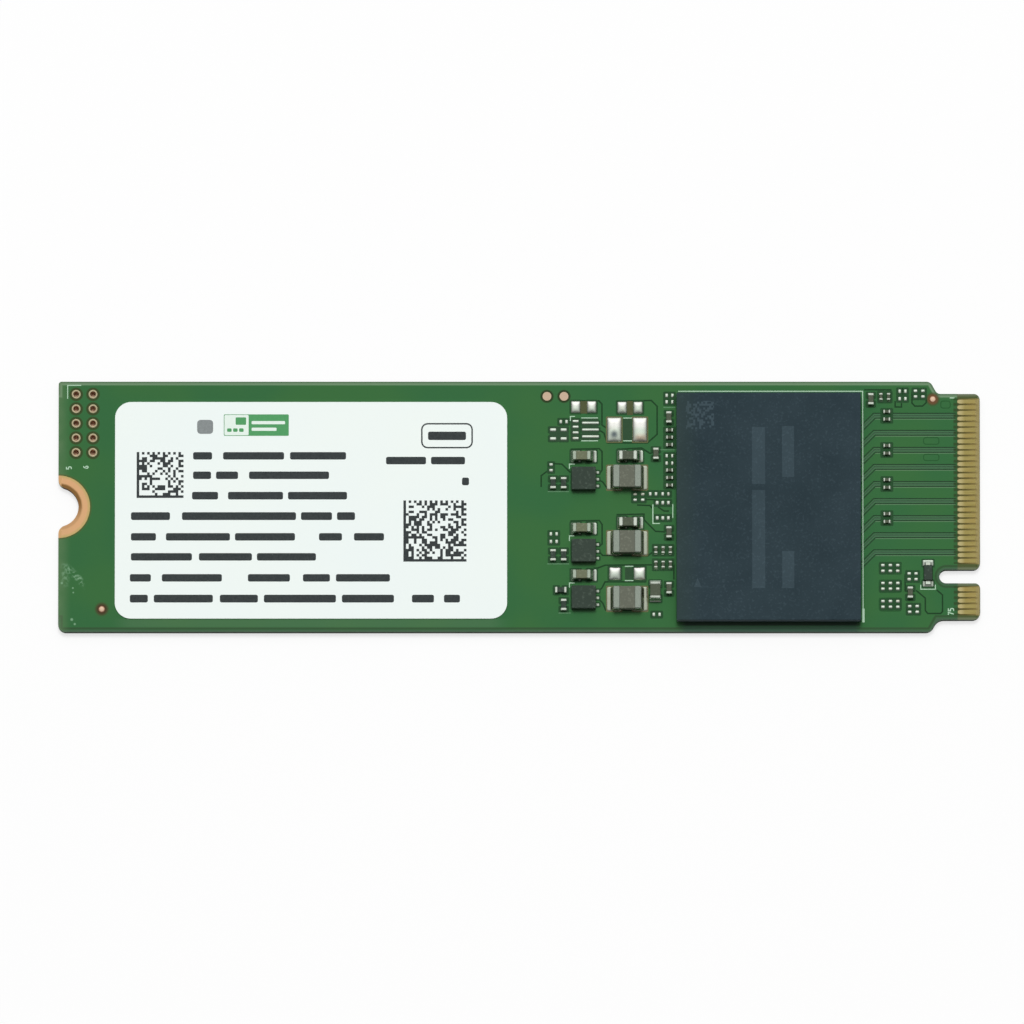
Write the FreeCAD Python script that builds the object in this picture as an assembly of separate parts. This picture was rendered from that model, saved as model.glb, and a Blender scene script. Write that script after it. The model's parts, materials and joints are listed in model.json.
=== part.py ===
import FreeCAD, Part
import math
import os
from collections import namedtuple

# Gumstick solid state drive: an 80 x 22 mm card with an edge connector at +X, a half-round retention
# notch at -X and all its parts on the top face. Millimetres. The card lies flat on z = 0, centred on
# the origin, with +Z on the component side and +Y on the side of the first contact.

Vector = FreeCAD.Vector

# Board blank
BOARD_LENGTH = 80.0
BOARD_WIDTH = 22.0
BOARD_THICKNESS = 0.8
TOP_CORNER_RADIUS = 0.25
BOTTOM_CORNER_RADIUS = 0.7
COPPER_THICKNESS = 0.04

# Connector tongue and its key notch
TONGUE_LENGTH = 4.0
SHOULDER_STEP = 1.075
SHOULDER_SLANT = 0.6
TOP_SHOULDER_OUTER_RADIUS = 0.55
TOP_SHOULDER_INNER_RADIUS = 0.5
BOTTOM_SHOULDER_OUTER_RADIUS = 0.8
BOTTOM_SHOULDER_INNER_RADIUS = 0.9
TONGUE_TOP_RADIUS = 0.5
TONGUE_BOTTOM_RADIUS = 0.7
TIP_BEVEL_LENGTH = 0.34
TIP_BEVEL_DEPTH = 0.12
KEY_OFFSET = 6.125
KEY_WIDTH = 1.2
KEY_DEPTH = 3.55
KEY_UPPER_MOUTH_RADIUS = 0.65
KEY_LOWER_MOUTH_RADIUS = 0.45

# Edge contacts
CONTACT_PITCH = 0.5
CONTACT_WIDTH = 0.35
CONTACT_LENGTH = 1.56
CONTACT_FROM_BEVEL = 0.04
CONTACT_END_MARGIN = 0.675
CONTACT_KEY_CLEARANCE = 0.2

# Half-round retention notch and the plated ring round it
NOTCH_RADIUS = 1.75
NOTCH_MOUTH_RADIUS = 0.75
RETENTION_PAD_WIDTH = 1.0
RETENTION_PAD_EDGE_SETBACK = 0.26

# Header of plated holes
HEADER_COLUMNS = 2
HEADER_ROWS = 5
HEADER_COLUMN_PITCH = 1.46
HEADER_ROW_PITCH = 1.28
HEADER_FROM_NOTCH_END = 1.52
HEADER_FROM_TOP_EDGE = 1.11
HEADER_HOLE_DIAMETER = 0.49
HEADER_PLATING = 0.05
HEADER_RING_DIAMETER = 0.82

# Sides of the round pads and plated holes, which are too small and too many for smooth rims
ROUND_SIDES = 12

# Bare copper marks
TEST_PAD_DIAMETER = 0.8
TEST_PAD_FROM_TOP_EDGE = 1.29
TEST_PAD_FROM_PACKAGE = (11.24, 9.76)
FIDUCIAL_DIAMETER = 0.6
FIDUCIAL_FROM_NOTCH_END = 3.78
FIDUCIAL_FROM_BOTTOM_EDGE = 2.0
FIDUCIAL_FROM_TIP = 4.08
FIDUCIAL_FROM_TOP_EDGE = 1.54

# Differential pairs: two traces between three gaps that show as shallow grooves in the coating
LANE_COUNT = 9
LANE_CONTACTS = 3
LANE_FIRST_CONTACTS = 2.5
LANE_TRACE = 0.11
LANE_GAP = 0.1
LANE_DEPTH = 0.03
LANE_BEND_FROM_PACKAGE = 1.2
LANE_UNDER_PACKAGE = 0.3
LANE_CONTACT_GAP = 0.15
LANE_PART_GAP = 0.08

# Label
LABEL_THICKNESS = 0.1
LABEL_CORNER_RADIUS = 1.4
LABEL_FROM_NOTCH_END = 4.91
LABEL_FROM_PACKAGE = 14.7
LABEL_TOP_MARGIN = 1.8
LABEL_BOTTOM_MARGIN = 1.16

# Large chip package
PACKAGE_LENGTH = 16.0
PACKAGE_WIDTH = 20.0
PACKAGE_MOULD_HEIGHT = 0.9
PACKAGE_SUBSTRATE_THICKNESS = 0.22
PACKAGE_STANDOFF = 0.2
PACKAGE_FROM_TIP = 10.35
PACKAGE_OFF_CENTRE = 0.15
BALL_PITCH = 1.0
BALL_DIAMETER = 0.45
BALL_EDGE_MARGIN = 0.8
BALL_SIDES = 6
BALL_CENTRE_COLUMNS = 3
BALL_CENTRE_ROWS = 5

# Tinned lands
LAND_HEIGHT = 0.05
TERMINAL_WALL = 0.03

# Smallest chip parts
TINY_LENGTH = 0.6
TINY_WIDTH = 0.3
TINY_HEIGHT = 0.3
TINY_BAND = 0.15
TINY_TOE = 0.08
TINY_HEEL = 0.03
TINY_SIDE = 0.02

# Small chip parts
SMALL_LENGTH = 1.0
SMALL_WIDTH = 0.5
SMALL_HEIGHT = 0.5
SMALL_BAND = 0.21
SMALL_TOE = 0.03
SMALL_HEEL = 0.04
SMALL_SIDE = 0.03
RESISTOR_HEIGHT = 0.35

# Medium chip parts
MEDIUM_LENGTH = 1.6
MEDIUM_WIDTH = 0.8
MEDIUM_HEIGHT = 0.8
MEDIUM_BAND = 0.36
MEDIUM_TOE = 0.31
MEDIUM_HEEL = 0.16
MEDIUM_SIDE = 0.12

# Bulk capacitor, a little wider, with narrow end caps
BULK_LENGTH = 1.45
BULK_WIDTH = 0.95
BULK_HEIGHT = 0.85
BULK_BAND = 0.24
BULK_TOE = 0.2
BULK_HEEL = 0.1
BULK_SIDE = 0.03

# Empty land pair of the next size up
LARGE_LAND_OUTER = 1.58
LARGE_LAND_INNER = 0.55
LARGE_LAND_WIDTH = 1.14

# Power inductors
INDUCTOR_LENGTH = 2.5
INDUCTOR_WIDTH = 2.0
INDUCTOR_HEIGHT = 1.1
INDUCTOR_BAND = 0.64
INDUCTOR_TOE = 0.5
INDUCTOR_HEEL = 0.13
INDUCTOR_SIDE = 0.07

# Voltage regulators: short leads to the left, three long ones to the right. The left lands start inside
# the body's end and the right ones reach past it.
REGULATOR_LENGTH = 2.1
REGULATOR_WIDTH = 2.0
REGULATOR_HEIGHT = 0.75
REGULATOR_LEAD_WIDTH = 0.22
REGULATOR_LEAD_THICKNESS = 0.15
REGULATOR_LEFT_LEAD_COUNT = 4
REGULATOR_LEFT_PITCH = 0.5
REGULATOR_LEFT_LENGTH = 0.62
REGULATOR_LEFT_SETBACK = 0.08
REGULATOR_RIGHT_LEAD_COUNT = 3
REGULATOR_RIGHT_PITCH = 0.6
REGULATOR_RIGHT_LENGTH = 1.2
REGULATOR_RIGHT_TOE = 0.28

# Diode beside the key notch
DIODE_LENGTH = 1.4
DIODE_WIDTH = 0.8
DIODE_HEIGHT = 0.6
DIODE_SIDE_DRAFT = 0.06
DIODE_LEAD_LENGTH = 0.26
DIODE_LEAD_WIDTH = 0.4
DIODE_LEAD_THICKNESS = 0.14
DIODE_LAND_TOE = 0.2
DIODE_LAND_HEEL = 0.05
DIODE_LAND_WIDTH = 0.9
DIODE_FROM_KEY = 0.97
DIODE_Y = -5.86

# Power section, measured to the left of the package
REGULATOR_FROM_PACKAGE = 8.05
INDUCTOR_FROM_PACKAGE = 4.28
OUTPUT_FROM_PACKAGE = 4.02
INPUT_RISE = 2.0
REFLOW_DRIFT = 0.18

# Coupling capacitors on the transmit pairs, measured to the right of the package
COUPLING_FROM_PACKAGE = 2.27
COUPLING_SPREAD = 0.34

# Empty six-lead footprint
SENSOR_FROM_PACKAGE = 1.18
SENSOR_Y = -0.33
SENSOR_PITCH = 0.49
SENSOR_ROW_SPACING = 1.34
SENSOR_LAND_LENGTH = 0.36
SENSOR_LAND_WIDTH = 0.3

ChipSize = namedtuple("ChipSize", "length width height band")
LandPair = namedtuple("LandPair", "outer inner width")
Place = namedtuple("Place", "x y along")
Stage = namedtuple("Stage", "regulator_y inductor_y output_y")

TINY = ChipSize(TINY_LENGTH, TINY_WIDTH, TINY_HEIGHT, TINY_BAND)
SMALL = ChipSize(SMALL_LENGTH, SMALL_WIDTH, SMALL_HEIGHT, SMALL_BAND)
RESISTOR = ChipSize(SMALL_LENGTH, SMALL_WIDTH, RESISTOR_HEIGHT, SMALL_BAND)
MEDIUM = ChipSize(MEDIUM_LENGTH, MEDIUM_WIDTH, MEDIUM_HEIGHT, MEDIUM_BAND)
BULK = ChipSize(BULK_LENGTH, BULK_WIDTH, BULK_HEIGHT, BULK_BAND)
INDUCTOR = ChipSize(INDUCTOR_LENGTH, INDUCTOR_WIDTH, INDUCTOR_HEIGHT, INDUCTOR_BAND)


def land_pair(size, toe, heel, side):
    """Lands that reach past a chip's end caps by the toe, heel and side."""
    outer = size.length / 2 + toe
    inner = size.length / 2 - size.band - heel
    return LandPair(outer, inner, size.width + 2 * side)


TINY_LANDS = land_pair(TINY, TINY_TOE, TINY_HEEL, TINY_SIDE)
SMALL_LANDS = land_pair(SMALL, SMALL_TOE, SMALL_HEEL, SMALL_SIDE)
MEDIUM_LANDS = land_pair(MEDIUM, MEDIUM_TOE, MEDIUM_HEEL, MEDIUM_SIDE)
BULK_LANDS = land_pair(BULK, BULK_TOE, BULK_HEEL, BULK_SIDE)
INDUCTOR_LANDS = land_pair(INDUCTOR, INDUCTOR_TOE, INDUCTOR_HEEL, INDUCTOR_SIDE)
LARGE_LANDS = LandPair(LARGE_LAND_OUTER, LARGE_LAND_INNER, LARGE_LAND_WIDTH)

# Datums
TIP_X = BOARD_LENGTH / 2
NOTCH_END_X = -BOARD_LENGTH / 2
TOP_EDGE_Y = BOARD_WIDTH / 2
BOTTOM_EDGE_Y = -BOARD_WIDTH / 2
BOARD_TOP = BOARD_THICKNESS
LAND_TOP = BOARD_TOP + LAND_HEIGHT
TONGUE_HALF_WIDTH = BOARD_WIDTH / 2 - SHOULDER_STEP
TONGUE_ROOT_X = TIP_X - TONGUE_LENGTH
KEY_END_X = TIP_X - KEY_DEPTH
TIP_BEVEL_X = TIP_X - TIP_BEVEL_LENGTH
CONTACT_ROOT_X = TIP_BEVEL_X - CONTACT_FROM_BEVEL - CONTACT_LENGTH
FIRST_CONTACT_Y = TONGUE_HALF_WIDTH - CONTACT_END_MARGIN
PACKAGE_RIGHT = TIP_X - PACKAGE_FROM_TIP
PACKAGE_LEFT = PACKAGE_RIGHT - PACKAGE_LENGTH
PACKAGE_X = (PACKAGE_LEFT + PACKAGE_RIGHT) / 2
PACKAGE_Y = -PACKAGE_OFF_CENTRE
REGULATOR_X = PACKAGE_LEFT - REGULATOR_FROM_PACKAGE
INDUCTOR_X = PACKAGE_LEFT - INDUCTOR_FROM_PACKAGE
OUTPUT_X = PACKAGE_LEFT - OUTPUT_FROM_PACKAGE
COUPLING_X = PACKAGE_RIGHT + COUPLING_FROM_PACKAGE

EMPTY_STAGE = Stage(6.77, 6.78, 8.72)
FITTED_STAGES = (Stage(2.41, 2.55, 4.43), Stage(-3.93, -3.2, -1.42), Stage(-8.02, -8.1, -5.88))

SAME_POINT = 1e-6


# Helpers

def block(x, y, bottom, length, width, height):
    """Box centred on x and y, standing on the bottom height."""
    corner = Vector(x - length / 2, y - width / 2, bottom)
    return Part.makeBox(length, width, height, corner)


def rounded_wire(corners, z):
    """Closed wire through corners (x, y, radius), each rounded by a tangent arc."""
    arcs = []
    for index, (x, y, radius) in enumerate(corners):
        here = Vector(x, y, z)
        before = corners[index - 1]
        after = corners[(index + 1) % len(corners)]
        back = (Vector(before[0], before[1], z) - here).normalize()
        ahead = (Vector(after[0], after[1], z) - here).normalize()
        half_angle = ahead.getAngle(back) / 2
        reach = radius / math.tan(half_angle)
        middle = here + (back + ahead).normalize() * (radius / math.sin(half_angle) - radius)
        arcs.append((here + back * reach, middle, here + ahead * reach))
    edges = []
    for index, (start, middle, end) in enumerate(arcs):
        edges.append(Part.Arc(start, middle, end).toShape())
        following = arcs[(index + 1) % len(arcs)][0]
        if not end.isEqual(following, SAME_POINT):
            edges.append(Part.LineSegment(end, following).toShape())
    return Part.Wire(edges)


def plate(wire, height):
    """Flat plate: a closed wire filled and raised by the height."""
    return Part.Face(wire).extrude(Vector(0, 0, height))


def polygon_plate(points, z, height):
    """Flat plate over straight-sided points."""
    corners = [Vector(x, y, z) for x, y in points]
    return plate(Part.makePolygon(corners + corners[:1]), height)


def prism(x, y, bottom, diameter, sides, height):
    """Upright many-sided post, as wide as the diameter across its corners."""
    turns = [2 * math.pi * (side + 0.5) / sides for side in range(sides)]
    radius = diameter / 2
    points = [(x + radius * math.cos(turn), y + radius * math.sin(turn)) for turn in turns]
    return polygon_plate(points, bottom, height)


def centred(count, pitch):
    """Places of a row of count items about zero."""
    return [(index - (count - 1) / 2) * pitch for index in range(count)]


def save(name, solids):
    """One file for each node; a node of several solids is a group."""
    shape = solids[0] if len(solids) == 1 else Part.makeCompound(solids)
    shape.exportStep("parts/" + name + ".step")


# Board

def board_outline():
    """Card outline with the tongue's slanted shoulders and the key notch, from the notch end round by -Y.

    A shoulder's two arcs share its length, so neither radius takes more than half of it.
    """
    half_slant = SHOULDER_SLANT / 2
    turn = math.atan2(SHOULDER_STEP, SHOULDER_SLANT)
    most = math.hypot(SHOULDER_STEP, SHOULDER_SLANT) / 2 / math.tan(turn / 2)
    key_low = -KEY_OFFSET - KEY_WIDTH / 2
    key_high = -KEY_OFFSET + KEY_WIDTH / 2
    return [
        (NOTCH_END_X, BOTTOM_EDGE_Y, BOTTOM_CORNER_RADIUS),
        (TONGUE_ROOT_X - half_slant, BOTTOM_EDGE_Y, min(BOTTOM_SHOULDER_OUTER_RADIUS, most)),
        (TONGUE_ROOT_X + half_slant, -TONGUE_HALF_WIDTH, min(BOTTOM_SHOULDER_INNER_RADIUS, most)),
        (TIP_X, -TONGUE_HALF_WIDTH, TONGUE_BOTTOM_RADIUS),
        (TIP_X, key_low, KEY_LOWER_MOUTH_RADIUS),
        (KEY_END_X, key_low, KEY_WIDTH / 2),
        (KEY_END_X, key_high, KEY_WIDTH / 2),
        (TIP_X, key_high, KEY_UPPER_MOUTH_RADIUS),
        (TIP_X, TONGUE_HALF_WIDTH, TONGUE_TOP_RADIUS),
        (TONGUE_ROOT_X + half_slant, TONGUE_HALF_WIDTH, min(TOP_SHOULDER_INNER_RADIUS, most)),
        (TONGUE_ROOT_X - half_slant, TOP_EDGE_Y, min(TOP_SHOULDER_OUTER_RADIUS, most)),
        (NOTCH_END_X, TOP_EDGE_Y, TOP_CORNER_RADIUS),
    ]


def lane_y(index):
    """Middle of a differential pair, which leaves between its two contacts."""
    return FIRST_CONTACT_Y - (LANE_FIRST_CONTACTS + LANE_CONTACTS * index) * CONTACT_PITCH


def lane_is_coupled(index):
    """Every second pair, up to the clock pair, passes through coupling capacitors."""
    return index % 2 == 0 and index < LANE_COUNT - 1


def lane_gap_plan(y, low, high, start_x, bend):
    """Plan of one gap: straight in from the contacts, then at 45 degrees towards -Y under the package.

    Each edge is the pair's middle line set off by low or high, so the bend moves by tan(22.5 degrees).
    """
    if not bend:
        end_x = COUPLING_X + TINY_LANDS.outer + LANE_PART_GAP
        return [(start_x, y + low), (end_x, y + low), (end_x, y + high), (start_x, y + high)]
    bend_x = PACKAGE_RIGHT + LANE_BEND_FROM_PACKAGE
    end_x = PACKAGE_RIGHT - LANE_UNDER_PACKAGE
    turn = math.tan(math.pi / 8)
    points = []
    for offset in (low, high):
        corner_x = bend_x - offset * turn
        edge_y = y + offset
        points.append([(start_x, edge_y), (corner_x, edge_y), (end_x, edge_y - corner_x + end_x)])
    return points[0] + points[1][::-1]


def lane_grooves():
    """Three gaps for each pair, broken at the coupling capacitors."""
    gap_middles = centred(3, LANE_TRACE + LANE_GAP)
    start_x = CONTACT_ROOT_X - LANE_CONTACT_GAP
    floor = BOARD_TOP - LANE_DEPTH
    grooves = []
    for index in range(LANE_COUNT):
        for middle in gap_middles:
            low = middle - LANE_GAP / 2
            high = middle + LANE_GAP / 2
            runs = [(start_x, True)]
            if lane_is_coupled(index):
                runs = [(start_x, False), (COUPLING_X - TINY_LANDS.outer - LANE_PART_GAP, True)]
            for run_start, bend in runs:
                plan = lane_gap_plan(lane_y(index), low, high, run_start, bend)
                grooves.append(polygon_plate(plan, floor, LANE_DEPTH))
    return grooves


def bare_ends():
    """The uncoated strip under the contacts, on both faces."""
    length = TIP_X - CONTACT_ROOT_X
    middle_x = (TIP_X + CONTACT_ROOT_X) / 2
    return [block(middle_x, 0, z, length, BOARD_WIDTH, COPPER_THICKNESS)
            for z in (0, BOARD_TOP - COPPER_THICKNESS)]


def tip_bevels():
    """Wedges that thin the tongue's tip on both faces, below the contacts' copper."""
    wedges = []
    for face, side in ((COPPER_THICKNESS, 1), (BOARD_TOP - COPPER_THICKNESS, -1)):
        corners = [Vector(TIP_BEVEL_X, BOTTOM_EDGE_Y, face), Vector(TIP_X, BOTTOM_EDGE_Y, face),
                   Vector(TIP_X, BOTTOM_EDGE_Y, face + side * TIP_BEVEL_DEPTH)]
        wedge = Part.Face(Part.makePolygon(corners + corners[:1]))
        wedges.append(wedge.extrude(Vector(0, BOARD_WIDTH, 0)))
    return wedges


def board_blank():
    """Card cut to its outline, with the half-round notch and its rounded mouth."""
    board = plate(rounded_wire(board_outline(), 0), BOARD_THICKNESS)
    board = board.cut(Part.makeCylinder(NOTCH_RADIUS, BOARD_THICKNESS, Vector(NOTCH_END_X, 0, 0)))
    mouth = [edge for edge in board.Edges
             if all(abs(vertex.X - NOTCH_END_X) < SAME_POINT for vertex in edge.Vertexes)
             and all(abs(abs(vertex.Y) - NOTCH_RADIUS) < SAME_POINT for vertex in edge.Vertexes)]
    return board.makeFillet(NOTCH_MOUTH_RADIUS, mouth)


def retention_pad(bottom):
    """Plated ring round the half-round notch, set back from the card's end."""
    reach = NOTCH_RADIUS + RETENTION_PAD_WIDTH
    keep_x = NOTCH_END_X + RETENTION_PAD_EDGE_SETBACK
    disc = Part.makeCylinder(reach, COPPER_THICKNESS, Vector(NOTCH_END_X, 0, bottom))
    disc = disc.common(block(keep_x + reach, 0, bottom, 2 * reach, 2 * reach, COPPER_THICKNESS))
    return disc.common(board_blank())


def header_places():
    """Hole centres, in from the notch end and down from the top edge."""
    first_x = NOTCH_END_X + HEADER_FROM_NOTCH_END
    first_y = TOP_EDGE_Y - HEADER_FROM_TOP_EDGE
    return [(first_x + column * HEADER_COLUMN_PITCH, first_y - row * HEADER_ROW_PITCH)
            for column in range(HEADER_COLUMNS) for row in range(HEADER_ROWS)]


def circuit_board():
    """Card with its notches, drilled holes, uncoated and bevelled contact end, and trace relief."""
    drill = HEADER_HOLE_DIAMETER + 2 * HEADER_PLATING
    drills = [prism(x, y, 0, drill, ROUND_SIDES, BOARD_THICKNESS) for x, y in header_places()]
    pads = [retention_pad(0), retention_pad(BOARD_TOP - COPPER_THICKNESS)]
    return board_blank().cut(drills + pads + bare_ends() + tip_bevels() + lane_grooves())


# Copper on the board

def contact_places(stagger):
    """Contact middles down the tongue, without those that the key takes away."""
    span = 2 * (TONGUE_HALF_WIDTH - CONTACT_END_MARGIN - stagger)
    count = int(span / CONTACT_PITCH + SAME_POINT) + 1
    reach = KEY_WIDTH / 2 + CONTACT_WIDTH / 2 + CONTACT_KEY_CLEARANCE
    middles = [FIRST_CONTACT_Y - stagger - index * CONTACT_PITCH for index in range(count)]
    return [y for y in middles if abs(y + KEY_OFFSET) > reach]


def edge_contacts(bottom, stagger):
    """Row of gold fingers, flush with the coated face."""
    middle_x = CONTACT_ROOT_X + CONTACT_LENGTH / 2
    return [block(middle_x, y, bottom, CONTACT_LENGTH, CONTACT_WIDTH, COPPER_THICKNESS)
            for y in contact_places(stagger)]


def header_barrel(x, y):
    """Plated hole: a tube through the board with a flat ring on the top face."""
    tube = prism(x, y, 0, HEADER_HOLE_DIAMETER + 2 * HEADER_PLATING, ROUND_SIDES, BOARD_TOP)
    ring = prism(x, y, BOARD_TOP, HEADER_RING_DIAMETER, ROUND_SIDES, COPPER_THICKNESS)
    bore = prism(x, y, 0, HEADER_HOLE_DIAMETER, ROUND_SIDES, BOARD_TOP + COPPER_THICKNESS)
    return tube.fuse(ring).cut(bore).removeSplitter()


def copper_disc(x, y, diameter):
    """Round pad lying on the board."""
    return prism(x, y, BOARD_TOP, diameter, ROUND_SIDES, COPPER_THICKNESS)


def test_pads():
    """Two probe pads in a row along the top edge."""
    return [copper_disc(PACKAGE_LEFT - offset, TOP_EDGE_Y - TEST_PAD_FROM_TOP_EDGE, TEST_PAD_DIAMETER)
            for offset in TEST_PAD_FROM_PACKAGE]


def fiducial_marks():
    """Camera targets at two opposite corners."""
    left = (NOTCH_END_X + FIDUCIAL_FROM_NOTCH_END, BOTTOM_EDGE_Y + FIDUCIAL_FROM_BOTTOM_EDGE)
    right = (TIP_X - FIDUCIAL_FROM_TIP, TOP_EDGE_Y - FIDUCIAL_FROM_TOP_EDGE)
    return [copper_disc(x, y, FIDUCIAL_DIAMETER) for x, y in (left, right)]


# Label and package

def label():
    """Round-cornered paper between the header and the power section."""
    left = NOTCH_END_X + LABEL_FROM_NOTCH_END
    right = PACKAGE_LEFT - LABEL_FROM_PACKAGE
    low = BOTTOM_EDGE_Y + LABEL_BOTTOM_MARGIN
    high = TOP_EDGE_Y - LABEL_TOP_MARGIN
    corners = [(x, y, LABEL_CORNER_RADIUS) for x, y in
               ((left, low), (right, low), (right, high), (left, high))]
    return plate(rounded_wire(corners, BOARD_TOP), LABEL_THICKNESS)


def package_substrate():
    """Thin carrier of the chip, held off the board by its solder balls."""
    return block(PACKAGE_X, PACKAGE_Y, BOARD_TOP + PACKAGE_STANDOFF,
                 PACKAGE_LENGTH, PACKAGE_WIDTH, PACKAGE_SUBSTRATE_THICKNESS)


def package_mould():
    """Moulded body, sawn flush with the carrier."""
    bottom = BOARD_TOP + PACKAGE_STANDOFF + PACKAGE_SUBSTRATE_THICKNESS
    return block(PACKAGE_X, PACKAGE_Y, bottom, PACKAGE_LENGTH, PACKAGE_WIDTH, PACKAGE_MOULD_HEIGHT)


def solder_ball(x, y):
    """Short many-sided post in place of a squashed ball."""
    return prism(x, y, BOARD_TOP, BALL_DIAMETER, BALL_SIDES, PACKAGE_STANDOFF)


def package_solder_balls():
    """One ring of balls round the edge and a block of them in the middle."""
    columns = int((PACKAGE_LENGTH - 2 * BALL_EDGE_MARGIN) / BALL_PITCH) + 1
    rows = int((PACKAGE_WIDTH - 2 * BALL_EDGE_MARGIN) / BALL_PITCH) + 1
    ring_x = centred(columns, BALL_PITCH)
    ring_y = centred(rows, BALL_PITCH)
    places = [(x, y) for x in ring_x for y in ring_y
              if x in (ring_x[0], ring_x[-1]) or y in (ring_y[0], ring_y[-1])]
    places += [(x, y) for x in centred(BALL_CENTRE_COLUMNS, 2 * BALL_PITCH)
               for y in centred(BALL_CENTRE_ROWS, 2 * BALL_PITCH)]
    return [solder_ball(PACKAGE_X + x, PACKAGE_Y + y) for x, y in places]


# Chip parts

def along(place, offset, bottom, length, width, height):
    """Block on a chip's own axis, offset from its middle towards one end."""
    if place.along == "x":
        return block(place.x + offset, place.y, bottom, length, width, height)
    return block(place.x, place.y + offset, bottom, width, length, height)


def lands_at(pair, place):
    """The two lands of one chip."""
    length = pair.outer - pair.inner
    middle = (pair.outer + pair.inner) / 2
    return [along(place, side * middle, BOARD_TOP, length, pair.width, LAND_HEIGHT) for side in (-1, 1)]


def chip_body(size, place):
    """Ceramic or ferrite bar that fills the end caps, standing clear of the lands by their wall."""
    inset = 2 * TERMINAL_WALL
    bottom = LAND_TOP + TERMINAL_WALL
    return along(place, 0, bottom, size.length - inset, size.width - inset, size.height - inset)


def chip_terminals(size, place):
    """Two metal end caps, each a cup over one end of the bar."""
    bar = chip_body(size, place)
    middle = (size.length - size.band) / 2
    return [along(place, side * middle, LAND_TOP, size.band, size.width, size.height).cut(bar)
            for side in (-1, 1)]


def small_chip(size, place):
    """Bar and solid end blocks, for the parts that are too small to show their caps' inside."""
    inset = 2 * TERMINAL_WALL
    length = size.length - 2 * size.band
    bar = along(place, 0, LAND_TOP + TERMINAL_WALL, length, size.width - inset, size.height - inset)
    middle = (size.length - size.band) / 2
    ends = [along(place, side * middle, LAND_TOP, size.band, size.width, size.height) for side in (-1, 1)]
    return bar, ends


def regulator_leads(y, bottom, height, setback, toe):
    """Leads, or the lands under them: short on the left, long on the right.

    The left ones start inside the body's end by the setback, and the right ones pass it by the toe.
    """
    left = REGULATOR_X - REGULATOR_LENGTH / 2 + setback
    right = REGULATOR_X + REGULATOR_LENGTH / 2 + toe
    left_length = REGULATOR_LEFT_LENGTH - setback
    right_length = REGULATOR_RIGHT_LENGTH + toe
    leads = [block(left + left_length / 2, y + row, bottom, left_length, REGULATOR_LEAD_WIDTH, height)
             for row in centred(REGULATOR_LEFT_LEAD_COUNT, REGULATOR_LEFT_PITCH)]
    leads += [block(right - right_length / 2, y + row, bottom, right_length, REGULATOR_LEAD_WIDTH, height)
              for row in centred(REGULATOR_RIGHT_LEAD_COUNT, REGULATOR_RIGHT_PITCH)]
    return leads


def regulator_body(y):
    """Sawn moulding with its leads let into the underside, flush with its ends."""
    body = block(REGULATOR_X, y, LAND_TOP, REGULATOR_LENGTH, REGULATOR_WIDTH, REGULATOR_HEIGHT)
    return body.cut(regulator_leads(y, LAND_TOP, REGULATOR_LEAD_THICKNESS, 0, 0))


def diode_leads():
    """Flat leads let into the underside of the moulding at both ends."""
    inside = DIODE_LEAD_LENGTH
    length = DIODE_LEAD_LENGTH + inside
    place = Place(KEY_END_X - DIODE_FROM_KEY, DIODE_Y, "y")
    middle = DIODE_LENGTH / 2 - inside + length / 2
    return [along(place, side * middle, LAND_TOP, length, DIODE_LEAD_WIDTH, DIODE_LEAD_THICKNESS)
            for side in (-1, 1)]


def diode_body():
    """Moulding whose sides lean in towards the top, as they leave the mould."""
    x = KEY_END_X - DIODE_FROM_KEY
    wires = []
    for z, inset in ((LAND_TOP, 0), (LAND_TOP + DIODE_HEIGHT, DIODE_SIDE_DRAFT)):
        half_x = DIODE_WIDTH / 2 - inset
        half_y = DIODE_LENGTH / 2 - inset
        corners = [Vector(x + half_x * sx, DIODE_Y + half_y * sy, z)
                   for sx, sy in ((-1, -1), (1, -1), (1, 1), (-1, 1))]
        wires.append(Part.makePolygon(corners + corners[:1]))
    return Part.makeLoft(wires, True, True).cut(diode_leads())


def diode_lands():
    """Lands under the open part of the diode's leads, in under the body by the heel."""
    place = Place(KEY_END_X - DIODE_FROM_KEY, DIODE_Y, "y")
    outer = DIODE_LENGTH / 2 + DIODE_LEAD_LENGTH + DIODE_LAND_TOE
    inner = DIODE_LENGTH / 2 - DIODE_LAND_HEEL
    return lands_at(LandPair(outer, inner, DIODE_LAND_WIDTH), place)


# Where the chips lie

def left_of_package(offset, y, axis):
    return Place(PACKAGE_LEFT - offset, y, axis)


def right_of_package(offset, y, axis):
    return Place(PACKAGE_RIGHT + offset, y, axis)


def below_top(offset):
    return TOP_EDGE_Y - offset


def above_bottom(offset):
    return BOTTOM_EDGE_Y + offset


INPUT_LAND_PLACES = [Place(REGULATOR_X, stage.regulator_y + INPUT_RISE, "x") for stage in FITTED_STAGES]
INPUT_PLACES = [place._replace(x=place.x - REFLOW_DRIFT) for place in INPUT_LAND_PLACES]
OUTPUT_LAND_PLACES = [Place(OUTPUT_X, stage.output_y, "x") for stage in FITTED_STAGES[:2]]
OUTPUT_PLACES = [place._replace(x=place.x - REFLOW_DRIFT) for place in OUTPUT_LAND_PLACES]
INDUCTOR_PLACES = [Place(INDUCTOR_X, stage.inductor_y, "x") for stage in FITTED_STAGES]

BULK_PLACE = left_of_package(1.84, -7.43, "y")
BYPASS_PLACES = [
    left_of_package(1.78, 4.62, "y"),
    left_of_package(0.65, 7.82, "y"),
    left_of_package(0.65, -2.29, "y"),
    left_of_package(0.65, -7.2, "y"),
    right_of_package(0.89, below_top(1.58), "y"),
    right_of_package(4.28, -7.58, "y"),
]

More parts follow.
